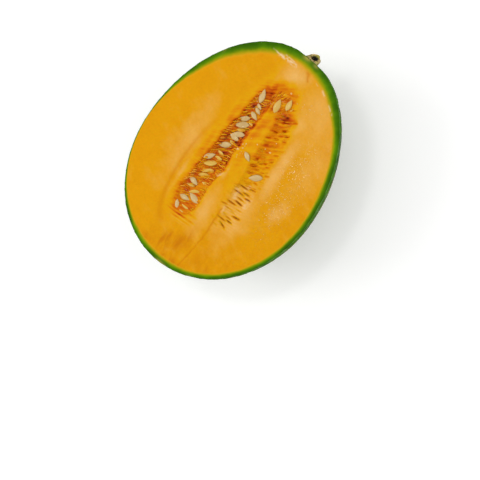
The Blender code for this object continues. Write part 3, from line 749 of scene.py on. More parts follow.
# a closed slab with a shaped top over the groove and the lobe, its edges hidden in the flesh
def buildPulp(material):
    axes = [np.arange(pulp["from"][k], pulp["to"][k], pulp["step"]) for k in (0, 1)]
    x, y = (grid.ravel() for grid in np.meshgrid(*axes, indexing="ij"))
    index = np.arange(len(x)).reshape(len(axes[0]), len(axes[1]))
    quads = np.stack([index[:-1, :-1], index[1:, :-1], index[1:, 1:], index[:-1, 1:]], axis=-1)
    quads = quads[inHollows(x, y)[quads].all(axis=-1)]
    used, quads = np.unique(quads, return_inverse=True)
    x, y, quads = x[used], y[used], quads.reshape(-1, 4).tolist()
    top = pointsAt(x, y, pulpHeight(x, y))
    below = len(top)
    bottom = [[v + below for v in reversed(quad)] for quad in quads]
    edges = dict.fromkeys((quad[i], quad[(i + 1) % 4]) for quad in quads for i in range(4))
    walls = [[b, a, a + below, b + below] for a, b in edges if (b, a) not in edges]
    points = np.concatenate([top, top - (0, 0, pulp["thickness"])])
    mesh = finishMesh("redPulp", points.tolist(), quads + bottom + walls)
    # darker red where the pulp lies lower and lighter on its ridges: painted shade in its hollows
    heat = np.clip(warmth(x, y) - 0.22 * pulpRelief(x, y), 0.05, 1.05)
    addValues(mesh, warm=np.concatenate([heat, heat]))
    addPiece(mesh, material, "seeds_and_pulp", "seed_bed")


seeds = {
    "length": 10 * mm,
    "width": 5.2 * mm,
    "thickness": 1.8 * mm,
    "sides": 20,
    "stations": 15,
    "rollDraw": 11,
    # how far each group rolls to either side, in degrees, and how high it lies, in mm
    "groups": (("sunk", (24, 44), 0.15), ("clear", (2, 18), 0.62), ("onBand", (2, 18), 0.55)),
    # seeds still half wrapped in the pulp: x, y, heading, size
    "sunk": ((-38.5, 9.5, -88, 0.7), (-27.3, 10.0, -62, 0.85), (-24.6, 15.2, -78, 0.6),
             (-14.6, 12.0, -60, 0.8), (-11.2, 12.4, -56, 0.66), (-9.3, 9.6, -68, 0.6),
             (-5.3, 12.6, -60, 1.0), (0.6, 9.6, -86, 0.62), (3.9, 9.4, 74, 0.7),
             (14.5, 7.2, 76, 0.6), (24.6, 7.4, -62, 0.62), (31.8, 4.0, 72, 0.5),
             (-18.2, 7.6, -84, 0.62), (-43.4, 10.5, -86, 0.6), (54.0, -14.0, -12, 0.5)),
    # the seeds that lie clear on top
    "clear": ((-40.7, 15.4, 30, 0.68), (-33.8, 13.5, 92, 0.76), (-30.7, 7.8, -108, 0.95),
              (-21.3, 14.6, 72, 0.76), (-1.4, 15.2, 138, 0.84), (10.4, 11.0, -58, 0.9),
              (18.2, 8.2, 80, 0.84), (21.4, 6.8, -68, 0.86), (27.8, 8.7, -60, 1.04),
              (32.2, 9.6, -54, 0.8), (37.2, 4.9, 65, 0.7), (41.2, 4.6, 62, 0.56),
              (44.2, 5.3, 62, 0.48), (51.2, 7.6, 194, 1.0), (51.2, -4.6, 188, 1.0),
              (55.8, -11.0, 185, 0.82)),
    "onBand": ((12.4, -7.2, 58, 0.72), (3.8, -19.6, -58, 0.98)),
    "cream": (0.60, 0.42, 0.175),
    "edge": (0.44, 0.23, 0.05),
    "film": (0.72, 0.43, 0.016),  # golden pulp still on it
    "filmInLobe": 0.75,
    "finish": {"IOR": 1.42, "Specular IOR Level": 0.2, "Coat Weight": 0.35, "Coat Roughness": 0.12},
}
seedAngles = np.arange(seeds["sides"]) * math.tau / seeds["sides"]


# a flat pointed seed with a thin rim, lying along x
def seedRings(size):
    across = np.sign(np.cos(seedAngles)) * np.abs(np.cos(seedAngles)) ** 0.8
    up = np.sign(np.sin(seedAngles)) * np.abs(np.sin(seedAngles)) ** 1.3
    rim = 1 + 0.12 * np.exp(-((np.abs(across) - 0.82) / 0.12) ** 2)
    rings = []
    for k in range(seeds["stations"]):
        share = 0.5 - 0.5 * math.cos(math.pi * (k + 0.5) / seeds["stations"])
        width = math.sin(math.pi * share ** 1.12) ** 0.72 * (0.80 + 0.20 * share)
        ring = pointsAt((share - 0.5) * seeds["length"], across * width * seeds["width"] / 2,
                        up * rim * width ** 0.6 * seeds["thickness"] / 2)
        rings.append(ring * size)
    return rings


# where every seed lies: place, roll, pitch, heading, size and the film of pulp on it
def seedPlaces():
    for group, rolls, lift in seeds["groups"]:
        chance = random.Random(seeds["rollDraw"])
        for i, (x, y, heading, size) in enumerate(seeds[group]):
            roll = chance.uniform(*rolls) * (1 if i % 2 else -1)
            inLobe = group == "clear" and y < -4
            film = 1 if group == "sunk" else seeds["filmInLobe"] if inLobe else 0
            reach = seeds["length"] / 2 * size * np.array([-0.6, 0.0, 0.6])
            spotX = x * mm + reach * math.cos(math.radians(heading))
            spotY = y * mm + reach * math.sin(math.radians(heading))
            ground = np.where(inHollows(spotX, spotY), pulpHeight(spotX, spotY), faceGround(spotX, spotY))
            pitch = -0.5 * math.degrees(math.atan2(ground[2] - ground[0], reach[2] - reach[0]))
            yield np.array((x * mm, y * mm, ground.mean() + lift * mm)), (roll, pitch, heading), size, film


def buildSeeds(material):
    points, faces, films = [], [], []
    rim = smoothStep(0.8, 1.0, np.abs(np.cos(seedAngles))).tolist() * seeds["stations"] + [1.0, 1.0]
    for place, angles, size, film in seedPlaces():
        turn = np.array(Euler([math.radians(angle) for angle in angles], "XYZ").to_matrix())
        addTube(points, faces, [ring @ turn.T + place for ring in seedRings(size)], hubs=True)
        films.append(film)
    mesh = finishMesh("creamSeeds", points, faces)
    addValues(mesh, rim=np.array(rim * len(films)), film=np.repeat(films, len(rim)))
    addPiece(mesh, material, "seeds_and_pulp")


strands = {
    "draw": 9,
    # fibres torn along the groove's far bank and near bank; lengths in mm, bearings in degrees
    "banks": ({"count": 54, "from": -0.72, "run": 1.62, "warmth": (0.05, 0.2, 0.35, 0.5), "across": (0.86, 1.04),
               "heading": (-69, -51), "reach": (2.2, 4.2), "drop": (1.3, 2.1), "thick": (0.3, 0.52)},
              {"count": 40, "from": -0.93, "run": 1.1, "warmth": (0.1, 0.2, 0.3, 0.45), "across": (-1.08, -0.88),
               "heading": (84, 108), "reach": (2.5, 5), "drop": (1.4, 2.4), "thick": (0.3, 0.5)}),
    "crossing": 56,
    "inGroove": 44,
    "inLobe": 34,
    "inBand": 110,
    "sides": 6,
    "steps": 7,
    "finish": {"IOR": 1.38, "Specular IOR Level": 0.05, "Roughness": 0.36,
               "Coat Weight": 0.1, "Coat Roughness": 0.1, "Subsurface Weight": 0.2, "Subsurface Scale": 0.002,
               "Subsurface Radius": (1.0, 0.3, 0.05)},
    "strings": {"Base": (0.80, 0.35, 0.030), "Scale": 500.0, "Strings": 0.8},
    "stringBump": (0.0003, 0.4),
}


def strandRings(start, end, hump, radius, sway):
    start, end = Vector(start), Vector(end)
    along = (end - start).normalized()
    side = along.cross(Vector((0, 0, 1))).normalized()
    up = side.cross(along)
    angles = [i * math.tau / strands["sides"] for i in range(strands["sides"])]
    around = [side * math.cos(angle) + up * math.sin(angle) for angle in angles]
    rings = []
    for share in np.linspace(0, 1, strands["steps"]).tolist():
        middle = start.lerp(end, share) + up * hump * math.sin(math.pi * share)
        middle += side * sway * math.sin(math.tau * share)
        size = radius * (0.35 + 0.65 * math.sin(math.pi * (0.12 + 0.8 * share)))
        rings.append(np.array([middle + way * size for way in around]))
    return rings


# the two ends of a fibre that lies sunk a little into a ground, to either side of its middle
def lyingEnds(x, y, heading, reach, ground, sink):
    ways = np.array([-1, 1]) * reach
    endX, endY = x + ways * math.cos(heading), y + ways * math.sin(heading)
    return zip(endX, endY, ground(endX, endY) - sink)


# each run is its two ends, hump, radius, sway and how warm its colour is
def bankRuns(chance, bank):
    for i in range(bank["count"]):
        along = bank["from"] + bank["run"] * (i + chance.uniform(-0.3, 0.3)) / bank["count"]
        across, heading, reach, drop, thick = (chance.uniform(*bank[key]) for key in
                                               ("across", "heading", "reach", "drop", "thick"))
        x, y = hollowPoint(groove, along, across)
        heading = math.radians(heading)
        end = (x + math.cos(heading) * reach * mm, y + math.sin(heading) * reach * mm, faceZ - drop * mm)
        yield (x, y, faceZ - 0.3 * mm), end, 0.35 * mm, thick * mm, 0.1 * mm, chance.choice(bank["warmth"])


def pulpRun(chance, x, y, bearing, lengths, lift, heat):
    ends = lyingEnds(x, y, math.radians(bearing), chance.uniform(*lengths) * mm / 2, pulpGround, 0.15 * mm)
    return (*ends, lift * mm, chance.uniform(0.3, 0.58) * mm, chance.uniform(-0.4, 0.4) * mm, heat)


def pulpRuns(chance):
    for bank in strands["banks"]:
        yield from bankRuns(chance, bank)
    for i in range(strands["crossing"]):
        x, y = hollowPoint(groove, -0.92 + 1.8 * i / strands["crossing"], chance.uniform(-0.35, 0.35))
        bearing = -62 + chance.uniform(-14, 14) - 14 * smoothStep(-25, -40, x / mm)
        yield pulpRun(chance, x, y, bearing, (5, 9), 0.35, chance.choice((0.15, 0.25, 0.35, 0.5)))
    for _ in range(strands["inGroove"]):
        x, y = hollowPoint(groove, chance.uniform(-0.92, 0.9), chance.uniform(-0.8, 0.7))
        yield pulpRun(chance, x, y, chance.uniform(-95, -35), (2.5, 5), 0.4, chance.uniform(0.2, 0.65))
    for _ in range(strands["inLobe"]):
        x, y = hollowPoint(lobe, chance.uniform(-0.6, 0.6), chance.uniform(-0.6, 0.6))
        bearing = math.degrees(math.atan2(y - 9 * mm, x - 34 * mm)) + chance.uniform(-14, 14)
        yield pulpRun(chance, x, y, bearing, (3, 7), 0.15, chance.uniform(0.3, 0.68))


def bandRuns(chance):
    for _ in range(strands["inBand"]):
        along = 1 - 1.3 * chance.random() ** 1.4
        x, y = hollowPoint(band, along, chance.uniform(-0.95, 0.95))
        heading = math.radians(-86 + 24 * min(along + 0.6, 1) + chance.uniform(-7, 7))
        ends = lyingEnds(x, y, heading, chance.uniform(3, 6) * mm / 2, faceGround, 0.16 * mm)
        yield (*ends, 0.2 * mm, chance.uniform(0.16, 0.30) * mm, 0, chance.uniform(0.2, 0.5))


def buildStrands(material):
    chance = random.Random(strands["draw"])
    for name, makeRuns, slotName in (("pulpStrands", pulpRuns, "seeds_and_pulp"),
                                     ("bandFibres", bandRuns, "orange_flesh")):
        points, faces, heats = [], [], []
        for *run, heat in makeRuns(chance):
            addTube(points, faces, strandRings(*run))
            heats.append(heat)
        mesh = finishMesh(name, points, faces)
        addValues(mesh, warm=np.repeat(heats, strands["sides"] * strands["steps"]))
        addPiece(mesh, material, slotName)


# drops of juice that catch the light
juice = {
    # x, y, radius in mm
    "drops": ((13.2, 1.3, 0.75), (23, -18, 0.6), (63, -8, 0.6), (19, -1.6, 0.5), (15.5, -1.2, 0.45),
              (17.6, 0.2, 0.4), (22.8, -8.2, 0.4), (23.2, -14, 0.45), (30.3, -18.2, 0.4)),
    "draw": 23,
    # x, y, reach in x, reach in y, count
    "fields": ((-6, -44, 20, 7, 46), (30, -38, 16, 6, 16), (62, -22, 5, 12, 14), (14, -2, 7, 2.5, 8)),
    "radii": (0.16, 0.34),
    "sides": 10,
    "levels": (-0.5, 0.0, 0.35, 0.62, 0.85),  # heights of a drop's rings, in radii
    "flatness": 0.6,
    "tint": (0.80, 0.50, 0.16),
    "finish": {"IOR": 1.36, "Coat Weight": 0.9, "Coat Roughness": 0.04, "Roughness": 0.2},
}


def buildJuice(material):
    chance = random.Random(juice["draw"])
    drops = list(juice["drops"])
    for x, y, reachX, reachY, count in juice["fields"]:
        for _ in range(count):
            place = chance.gauss(x, reachX / 2), chance.gauss(y, reachY / 2)
            drops.append((*place, chance.uniform(*juice["radii"])))
    points, faces = [], []
    angles = np.arange(juice["sides"]) * math.tau / juice["sides"]
    places = np.array(drops)[:, :2].T * mm
    for (x, y, radius), ground in zip(drops, faceGround(*places) / mm):
        stretch, turn = chance.uniform(1, 1.5), chance.uniform(0, math.pi)
        u, v = turned(np.cos(angles) * stretch * radius, np.sin(angles) * radius, -turn)
        rings = []
        for level in juice["levels"]:
            flat = math.sqrt(1 - level * level)
            height = ground + juice["flatness"] * radius * level
            rings.append(pointsAt(x + flat * u, y + flat * v, height) * mm)
        addTube(points, faces, rings)
    addPiece(finishMesh("juiceDrops", points, faces), material, "orange_flesh")


scar = {
    "middle": (89 * mm, -6.8 * mm, 64.7 * mm),
    "lean": math.radians(52),  # its mouth looks up by this much
    "dimpleDepth": 1.4 * mm,
    "dimpleRadius": 11 * mm,
    "columns": 80,
    # radius and height in mm, from the foot over the ring and down into the hole
    "profile": ((0.3, -2.3), (4.5, -2.3), (5.1, -1.4), (5.5, -0.6), (5.2, 0.2), (4.9, 0.9), (4.5, 1.7),
                (4.2, 2.3), (4.0, 2.9), (3.6, 3.2), (3.1, 3.3), (2.7, 3.15), (2.3, 2.7),
                (1.9, 2.0), (1.7, 1.2), (1.5, 0.6), (0.2, 0.4)),
    "size": 0.98,
    "foot": 1.2,  # how far the foot's middle stands towards +y, in mm
    "mouth": -0.7,  # and the mouth's
    "furrows": 13,
    "furrowDepth": 0.12 * mm,
    "cork": (0.62, 0.46, 0.19),
    "corkDark": (0.13, 0.085, 0.02),
    # near black inside the stem's hollow: painted shade
    "hole": (0.012, 0.012, 0.012),
    "green": (0.38, 0.37, 0.035),
    "finish": {"IOR": 1.45, "Specular IOR Level": 0.2},
}


def buildScar(material):
    columns = scar["columns"]
    angles = np.arange(columns) * math.tau / columns
    rings = []
    for radius, height in scar["profile"]:
        lump = 1 + 0.07 * np.sin(3 * angles + 1) + 0.05 * np.sin(5 * angles + height)
        aside = max(scar["mouth"], scar["foot"] - 0.7 * max(0.0, height + 0.6))
        ring = pointsAt(radius * lump * np.cos(angles), radius * lump * np.sin(angles) + aside, height)
        rings.append(ring * scar["size"] * mm)
    points = np.concatenate(rings)
    bearing = np.arctan2(points[:, 1], points[:, 0])
    rough = 1 + 0.05 * softNoise(points, 1.1 * mm, 81)
    furrows = scar["furrowDepth"] * np.sin(scar["furrows"] * bearing + 2 * softNoise(points, 3 * mm, 82))
    reach = np.hypot(points[:, 0], points[:, 1] - scar["mouth"] * mm) + 1e-9
    points[:, :2] *= (rough - np.abs(furrows) / reach * (reach > 1.8 * mm))[:, None]
    # the hollow's walls and floor, painted near black: painted shade
    hole = smoothStep(2.7 * mm, 1.9 * mm, reach) * (points[:, 2] > 0)
    lean = Matrix.Rotation(math.pi / 2 - scar["lean"], 3, "Y")
    points = points @ np.array(lean).T + np.array(scar["middle"])
    rings = [points[i:i + columns] for i in range(0, len(points), columns)]
    mesh = meshFromRings("corkyScar", rings, closeFirst=True)
    addValues(mesh, hole=hole)
    addPiece(mesh, material, "corky_scar", "stem_scar")


# a socket takes another node's output or a value
def plug(tree, socket, value):
    if isinstance(value, bpy.types.NodeSocket):
        tree.links.new(value, socket)
    else:
        socket.default_value = (*value, 1) if socket.type == "RGBA" else value


def addNode(tree, kind, settings, inputs):
    made = tree.nodes.new("ShaderNode" + kind)
    for key, value in settings.items():
        setattr(made, key, value)
    for key, value in inputs.items():
        plug(tree, made.inputs[key], value)
    return made


def placeGroup(tree, group, **inputs):
    return addNode(tree, "Group", {"node_tree": group}, inputs).outputs


def times(tree, value, factor, plus=0.0):
    return addNode(tree, "Math", {"operation": "MULTIPLY_ADD"}, {0: value, 1: factor, 2: plus}).outputs[0]


def blendColors(tree, share, first, second, way="MIX"):
    made = addNode(tree, "Mix", {"data_type": "RGBA", "blend_type": way}, {0: share, 6: first, 7: second})
    return made.outputs[2]


# a colour with each channel made lighter or darker by a value
def shadeColor(tree, color, red, green, blue, share=1.0):
    shade = addNode(tree, "CombineColor", {}, {0: red, 1: green, 2: blue}).outputs[0]
    return blendColors(tree, share, color, shade, "MULTIPLY")


def rampColors(tree, share, stops):
    made = addNode(tree, "ValToRGB", {}, {0: share})
    ramp = made.color_ramp
    while len(ramp.elements) < len(stops):
        ramp.elements.new(1)
    for element, (place, color) in zip(ramp.elements, stops):
        element.position = place
        element.color = (*color, 1)
    return made.outputs["Color"]


# a value that rises from 0 to 1 between two limits
def rise(tree, value, low, high):
    made = addNode(tree, "MapRange", {"interpolation_type": "SMOOTHSTEP"}, {"Value": value, 1: low, 2: high})
    return made.outputs["Result"]


# noise in the fruit's own space, drawn out along a bearing when stretch is given
def noise(tree, scale, detail=3.0, roughness=0.5, stretch=1.0, bearing=0.0):
    place = addNode(tree, "TexCoord", {}, {}).outputs["Object"]
    if stretch != 1.0:
        turn = {"Vector": place, "Rotation": (0, 0, math.radians(bearing)), "Scale": (stretch, 1, 1)}
        place = addNode(tree, "Mapping", {"vector_type": "TEXTURE"}, turn).outputs[0]
    inputs = {"Vector": place, "Scale": scale, "Detail": detail, "Roughness": roughness}
    return addNode(tree, "TexNoise", {}, inputs).outputs["Fac"]


# patches of noise, 0 below the low limit and 1 above the high one
def patches(tree, low, high, *settings):
    return rise(tree, noise(tree, *settings), low, high)


# coats of colour, each laid on where its mask says
def layColors(tree, color, *coats):
    for mask, coat in coats:
        color = blendColors(tree, mask, color, coat)
    return color


def readValue(tree, name):
    return addNode(tree, "Attribute", {"attribute_name": name}, {}).outputs["Fac"]


# inputs have a name and a value each, outputs a name and the kind of socket
def newGroup(name, inputs, outputs):
    group = bpy.data.node_groups.new(name, "ShaderNodeTree")
    for label, value in inputs.items():
        kind = "NodeSocketColor" if isinstance(value, tuple) else "NodeSocketFloat"
        socket = group.interface.new_socket(label, in_out="INPUT", socket_type=kind)
        socket.default_value = (*value, 1) if isinstance(value, tuple) else value
    for label, kind in outputs.items():
        group.interface.new_socket(label, in_out="OUTPUT", socket_type="NodeSocket" + kind)
    return group, group.nodes.new("NodeGroupInput").outputs, group.nodes.new("NodeGroupOutput").inputs


# a material whose shader has plain values on its own sockets
def newMaterial(name, finish):
    material = bpy.data.materials.new(name)
    material.use_nodes = True
    tree = material.node_tree
    shader = tree.nodes["Principled BSDF"]
    for key, value in finish.items():
        plug(tree, shader.inputs[key], value)
    return material, tree, shader


# links what varies over the surface: bumps are height, distance, strength
def feed(tree, shader, color, roughness=None, bumps=()):
    tree.links.new(color, shader.inputs["Base Color"])
    if roughness is not None:
        tree.links.new(roughness, shader.inputs["Roughness"])
    normal = shader.inputs["Normal"]
    for height, distance, strength in reversed(bumps):
        bump = addNode(tree, "Bump", {}, {"Height": height, "Distance": distance, "Strength": strength})
        tree.links.new(bump.outputs["Normal"], normal)
        normal = bump.inputs["Normal"]


fade = {
    # from the skin inwards: depth as a share of the green's width, colour
    "steps": ((0.0, (0.012, 0.050, 0.001)), (0.06, (0.034, 0.110, 0.001)), (0.36, (0.040, 0.130, 0.001)),
              (0.66, (0.072, 0.178, 0.001)), (0.82, (0.130, 0.215, 0.001)), (0.96, (0.235, 0.275, 0.001)),
              (1.12, (0.380, 0.310, 0.002)), (1.30, (0.540, 0.330, 0.006)), (1.50, (0.690, 0.345, 0.012))),
    "ragged": 0.16,
    "chalk": (0.80, 0.58, 0.32),  # whitish strokes: painted glints just inside the green, and whitish streaks on the face
    "olive": (0.40, 0.34, 0.06),
}


# the cut rind's colours from the skin inwards, by depth counted in widths of the green
def makeRindFade():
    group, enter, leave = newGroup("rindFade", {"Depth": 1.0, "Ragged": 0.18},
                                   {"Color": "Color", "Flesh": "Float"})
    shake = times(group, noise(group, 90, 4, 0.6), 1, -0.5)
    depth = times(group, enter["Depth"], times(group, shake, times(group, enter["Ragged"], 3), 1))
    color = rampColors(group, times(group, depth, 0.5), [(place / 2, tint) for place, tint in fade["steps"]])
    # random lighter, yellower patches of the green: painted sheen
    wash = times(group, patches(group, 0.35, 0.65, 60, 3, 0.6), 0.75, 0.85)
    green = times(group, rise(group, depth, 0.7, 1.1), -1, 1)
    color = shadeColor(group, color, wash, times(group, wash, 0.75, 0.25), 1.0, green)
    plug(group, leave["Color"], color)
    plug(group, leave["Flesh"], rise(group, depth, 1.15, 1.7))
    return group


# the flesh's colours: deep and pale clouds, the pale partly painted sheen of the wet face, and its fine relief
def makeFleshTone():
    group, enter, leave = newGroup("fleshTone", {"Pale": 0.0, "Deep": 0.0, "Grain": 1.0},
                                   {"Color": "Color", "Height": "Float"})
    clouds = patches(group, 0.45, 0.8, 34, 3, 0.5)
    wisps = noise(group, 120, 3, 0.55, 3.0, -4)
    grain = noise(group, 620, 2, 0.5)
    mottle = times(group, noise(group, 150, 3, 0.6, 1.8, 60), 1, -0.5)
    streaks = patches(group, 0.35, 0.65, 190, 3, 0.6, 3.5, 6)
    deep = times(group, enter["Deep"], times(group, streaks, 1.1, 0.3))
    deep = times(group, mottle, -0.75, times(group, clouds, 0.22, deep))
    pale = times(group, enter["Pale"], times(group, rise(group, wisps, 0.3, 0.7), 0.4, 0.8), -0.05)
    pale = times(group, mottle, 0.6, pale)
    color = layColors(group, flesh["orange"], (deep, flesh["deep"]), (pale, flesh["pale"]))
    speck = times(group, times(group, grain, 1, -0.5), enter["Grain"])
    shade = times(group, speck, 0.16, 1)
    plug(group, leave["Color"], shadeColor(group, color, shade, shade, shade))
    plug(group, leave["Height"], times(group, grain, 0.5, times(group, wisps, 0.5)))
    return group


# the colours of wet flesh and pulp, from golden to the red of the deepest places, the dark end painted shade:
# warmth, colour
warm = {
    "gold": (0.12, (0.725, 0.360, 0.001)),
    "amber": (0.36, (0.690, 0.240, 0.001)),
    "orange": (0.58, (0.60, 0.130, 0.001)),
    "red": (0.78, (0.46, 0.062, 0.001)),
    "dark": (1.0, (0.15, 0.010, 0.0005)),
}


# wet flesh, pulp and fibres: golden to red by warmth, broken up by fine strings
def makeWarmTone():
    inputs = {"Base": (0.7, 0.3, 0.0), "Warmth": 0.5, "Scale": 300.0, "Strings": 1.0}
    group, enter, leave = newGroup("warmTone", inputs, {"Color": "Color", "Height": "Float"})
    strings = noise(group, enter["Scale"], 3.0, 0.55, 4.5, -62)
    swing = times(group, times(group, strings, 1, -0.5), enter["Strings"])
    heat = times(group, swing, times(group, enter["Warmth"], 1.6, 0.1), enter["Warmth"])
    color = blendColors(group, rise(group, enter["Warmth"], 0.03, 0.22), enter["Base"],
                        rampColors(group, heat, warm.values()))
    plug(group, leave["Color"], color)
    plug(group, leave["Height"], strings)
    return group


def rindMaterial(rindFade, fleshTone):
    material, tree, shader = newMaterial("cutRindAndSkin", skin["finish"])
    outside, height = readValue(tree, "outside"), readValue(tree, "height")
    tone = placeGroup(tree, fleshTone, Pale=readValue(tree, "pale"), Deep=readValue(tree, "deep"))
    cut = placeGroup(tree, rindFade, Depth=readValue(tree, "depth"), Ragged=fade["ragged"])
    cutColor = layColors(tree, cut["Color"], (cut["Flesh"], tone["Color"]),
                         (readValue(tree, "chalk"), fade["chalk"]), (readValue(tree, "corky"), fade["olive"]))
    byRim = rise(tree, height, *skin["rimFade"])
    rimClouds = patches(tree, 0.35, 0.65, 160, 3, 0.6)
    rimColor = blendColors(tree, rimClouds, skin["rimDark"], skin["rimGreen"])
    clouds = patches(tree, 0.38, 0.62, 55, 5, 0.65)
    flecks = times(tree, patches(tree, 0.60, 0.72, 420, 2, 0.5), 0.45)
    ground = rise(tree, times(tree, height, -1, skin["groundHeight"]), -0.004, 0.006)
    green = layColors(tree, skin["darkGreen"], (clouds, skin["midGreen"]), (flecks, skin["paleFleck"]),
                      (times(tree, ground, 0.55), skin["groundPatch"]), (byRim, rimColor))
    broken = times(tree, noise(tree, 300, 3, 0.7), 0.7, -0.35)
    cork = rise(tree, times(tree, readValue(tree, "net"), 1, broken), 0.25, 0.75)
    crumbs = patches(tree, 0.35, 0.7, 700, 2, 0.6)
    corkColor = layColors(tree, skin["corkDark"], (crumbs, skin["cork"]), (times(tree, byRim, 0.94), rimColor))
    dull = addNode(tree, "Math", {"operation": "MAXIMUM"}, {0: byRim, 1: cork}).outputs[0]
    glossy = times(tree, outside, times(tree, dull, -1, 1))
    tree.links.new(times(tree, glossy, skin["gloss"]), shader.inputs["Coat Weight"])
    rough = times(tree, outside, times(tree, cork, 0.30, 0.08), 0.4)
    fine = times(tree, noise(tree, 1100, 3, 0.6), times(tree, outside, 0.8, 0.2))
    color = layColors(tree, cutColor, (outside, blendColors(tree, cork, green, corkColor)))
    feed(tree, shader, color, rough, ((cork, 0.00025, 0.6), (fine, 0.0002, 0.5)))
    return material


def fleshMaterial(rindFade, fleshTone, warmTone):
    material, tree, shader = newMaterial("wetOrangeFlesh", flesh["finish"])
    tone = placeGroup(tree, fleshTone, Pale=readValue(tree, "pale"), Deep=readValue(tree, "deep"))
    fibres = placeGroup(tree, warmTone, Base=tone["Color"], Warmth=readValue(tree, "warm"), **flesh["strings"])
    edge = placeGroup(tree, rindFade, Depth=readValue(tree, "depth"), Ragged=fade["ragged"])
    mark = times(tree, readValue(tree, "mark"), 0.8)
    pit = times(tree, rise(tree, readValue(tree, "pit"), 0.1, 0.9), 0.85)
    color = layColors(tree, fibres["Color"], (mark, flesh["mark"]), (pit, flesh["pit"]))
    color = layColors(tree, edge["Color"], (edge["Flesh"], color), (readValue(tree, "chalk"), fade["chalk"]))
    sparkle = patches(tree, 0.56, 0.66, 1000, 2, 0.6)
    wet = times(tree, sparkle, times(tree, readValue(tree, "wet"), 0.7, 0.02))
    tree.links.new(wet, shader.inputs["Coat Weight"])
    bumps = ((noise(tree, 260, 3, 0.55), 0.00022, 0.25), (tone["Height"], 0.00010, 0.3),
             (fibres["Height"], 0.00022, 0.35), (wet, 0.0005, 0.6))
    feed(tree, shader, color, None, bumps)
    return material


# pulp and torn fibres, whose colour and relief come from their strings
def stringyMaterial(name, piece, warmTone):
    material, tree, shader = newMaterial(name, piece["finish"])
    tone = placeGroup(tree, warmTone, Warmth=readValue(tree, "warm"), **piece["strings"])
    feed(tree, shader, tone["Color"], None, ((tone["Height"], *piece["stringBump"]),))
    return material


def seedMaterial(warmTone):
    material, tree, shader = newMaterial("creamSeedCoat", seeds["finish"])
    wash = patches(tree, 0.45, 0.75, 240, 3, 0.6)
    rim = times(tree, readValue(tree, "rim"), 0.7)
    color = layColors(tree, seeds["cream"], (times(tree, wash, 0.4), seeds["edge"]), (rim, seeds["edge"]))
    lines = noise(tree, 900, 3, 0.6, 4.0, -58)
    shade = times(tree, lines, 0.3, 0.85)
    color = shadeColor(tree, color, shade, shade, shade)
    film = placeGroup(tree, warmTone, Base=seeds["film"], Warmth=times(tree, wash, 0.3), Scale=380.0)
    patchy = times(tree, readValue(tree, "film"), times(tree, wash, 0.3, 0.65))
    color = blendColors(tree, patchy, color, film["Color"])
    feed(tree, shader, color, times(tree, wash, 0.15, 0.34), ((lines, 0.00015, 0.5),))
    return material


def juiceMaterial():
    material, tree, shader = newMaterial("juiceDrops", juice["finish"])
    feed(tree, shader, blendColors(tree, noise(tree, 300, 2, 0.5), juice["tint"], flesh["pale"]))
    return material


def scarMaterial():
    material, tree, shader = newMaterial("corkyStemScar", scar["finish"])
    cracks = noise(tree, 520, 5, 0.7)
    blotches = times(tree, patches(tree, 0.52, 0.66, 170, 3, 0.6), 0.7)
    color = layColors(tree, scar["corkDark"], (rise(tree, cracks, 0.40, 0.58), scar["cork"]),
                      (blotches, scar["green"]), (readValue(tree, "hole"), scar["hole"]))
    feed(tree, shader, color, times(tree, cracks, 0.25, 0.65), ((cracks, 0.0006, 0.9),))
    return material


studio = {
    "floor": (0.96, 0.96, 0.955),
    "floorReach": 3.0,
    "paper": {"Roughness": 0.9, "Specular IOR Level": 0.1, "Emission Color": (1, 1, 1),
              "Emission Strength": 0.16},  # it glows a little, as on a light table
    "sky": 0.74,
    # place, size, power
    "lights": {"key": ((-0.60, 1.05, 0.95), (0.9, 0.8), 7.0),
               "fill": ((0.75, -0.95, 0.95), (0.9, 0.8), 3.0),
               "sheen": ((0.05, 0.17, 0.97), (0.16, 0.12), 0.8)},
}


def buildFloor():
    mesh = bpy.data.meshes.new("paleFloor")
    reach = studio["floorReach"]
    mesh.from_pydata([(-reach, -reach, 0), (reach, -reach, 0), (reach, reach, 0), (-reach, reach, 0)], [],
                     [(0, 1, 2, 3)])
    floor = bpy.data.objects.new("paleFloor", mesh)
    bpy.context.scene.collection.objects.link(floor)
    material, tree, shader = newMaterial("palePaper", studio["paper"])
    shaded = tuple(channel * 0.985 for channel in studio["floor"])
    feed(tree, shader, blendColors(tree, noise(tree, 30, 3, 0.5), studio["floor"], shaded))
    mesh.materials.append(material)
    floor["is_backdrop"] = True


def buildLights():
    world = bpy.data.worlds.new("softSky")
    bpy.context.scene.world = world
    world.use_nodes = True
    background = world.node_tree.nodes["Background"].inputs
    background["Color"].default_value = (1, 1, 1, 1)
    background["Strength"].default_value = studio["sky"]
    for name, (place, size, power) in studio["lights"].items():
        light = bpy.data.lights.new(name + "Box", "AREA")
        light.shape = "RECTANGLE"
        light.size, light.size_y = size
        light.energy = power
        lamp = bpy.data.objects.new(light.name, light)
        lamp.location = place
        lamp.rotation_euler = (Vector(place) - Vector((0, 0, faceZ))).to_track_quat("Z", "Y").to_euler()
        bpy.context.scene.collection.objects.link(lamp)


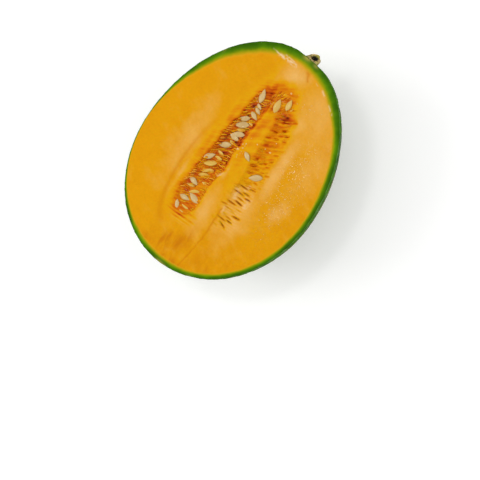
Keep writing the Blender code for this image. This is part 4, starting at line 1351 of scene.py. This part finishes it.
# the photograph's frame: the cut face seen a little from its near side, its stem end up to the right
view = {
    "lens": 85.0,
    "sensor": 36,
    "pixels": 480,
    "pixel": 0.667 * mm,  # on the face
    "tilt": math.radians(15),  # off the face's normal, towards -y
    "lean": math.radians(3),  # and towards the stem
    "stemBearing": math.radians(55),  # of +x in the picture, above the horizontal
    "facePixel": (233.0, 159.5),  # where the face's middle shows
}


def buildCamera():
    distance = view["pixels"] * view["pixel"] * view["lens"] / view["sensor"]
    away = Vector((math.sin(view["lean"]), -math.sin(view["tilt"]), math.cos(view["tilt"]))).normalized()
    across = math.pi / 2 - view["stemBearing"]
    up = Vector((math.cos(across), math.sin(across), 0))
    up = (up - away * up.dot(away)).normalized()
    middle = Vector((melon["faceMiddle"], 0, faceZ))
    place = middle + away * distance
    offX, offY = ((view["pixels"] / 2 - pixel) * view["pixel"] for pixel in view["facePixel"])
    target = middle + up.cross(away).normalized() * offX - up * offY
    back = (place - target).normalized()
    right = up.cross(back).normalized()
    camera = bpy.data.cameras.new("photoCamera")
    camera.lens = view["lens"]
    camera.sensor_width = view["sensor"]
    holder = bpy.data.objects.new("photoCamera", camera)
    bpy.context.scene.collection.objects.link(holder)
    turn = Matrix((right, back.cross(right), back)).transposed()
    holder.matrix_world = Matrix.Translation(place) @ turn.to_4x4()
    bpy.context.scene.camera = holder


bpy.context.scene.view_settings.view_transform = "Standard"
buildCamera()
buildLights()
buildFloor()
print("stage ready")

rindFade = makeRindFade()
fleshTone = makeFleshTone()
warmTone = makeWarmTone()
print("shared finishes ready")

buildRind(rindMaterial(rindFade, fleshTone))
buildFlesh(fleshMaterial(rindFade, fleshTone, warmTone))
buildPulp(stringyMaterial("wetRedPulp", pulp, warmTone))
buildSeeds(seedMaterial(warmTone))
buildStrands(stringyMaterial("wetStrands", strands, warmTone))
buildJuice(juiceMaterial())
buildScar(scarMaterial())

boxes = {"cad": cadBox, "visual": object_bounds()}
{key: [[float(v) for v in corner] for corner in box] for key, box in boxes.items()}
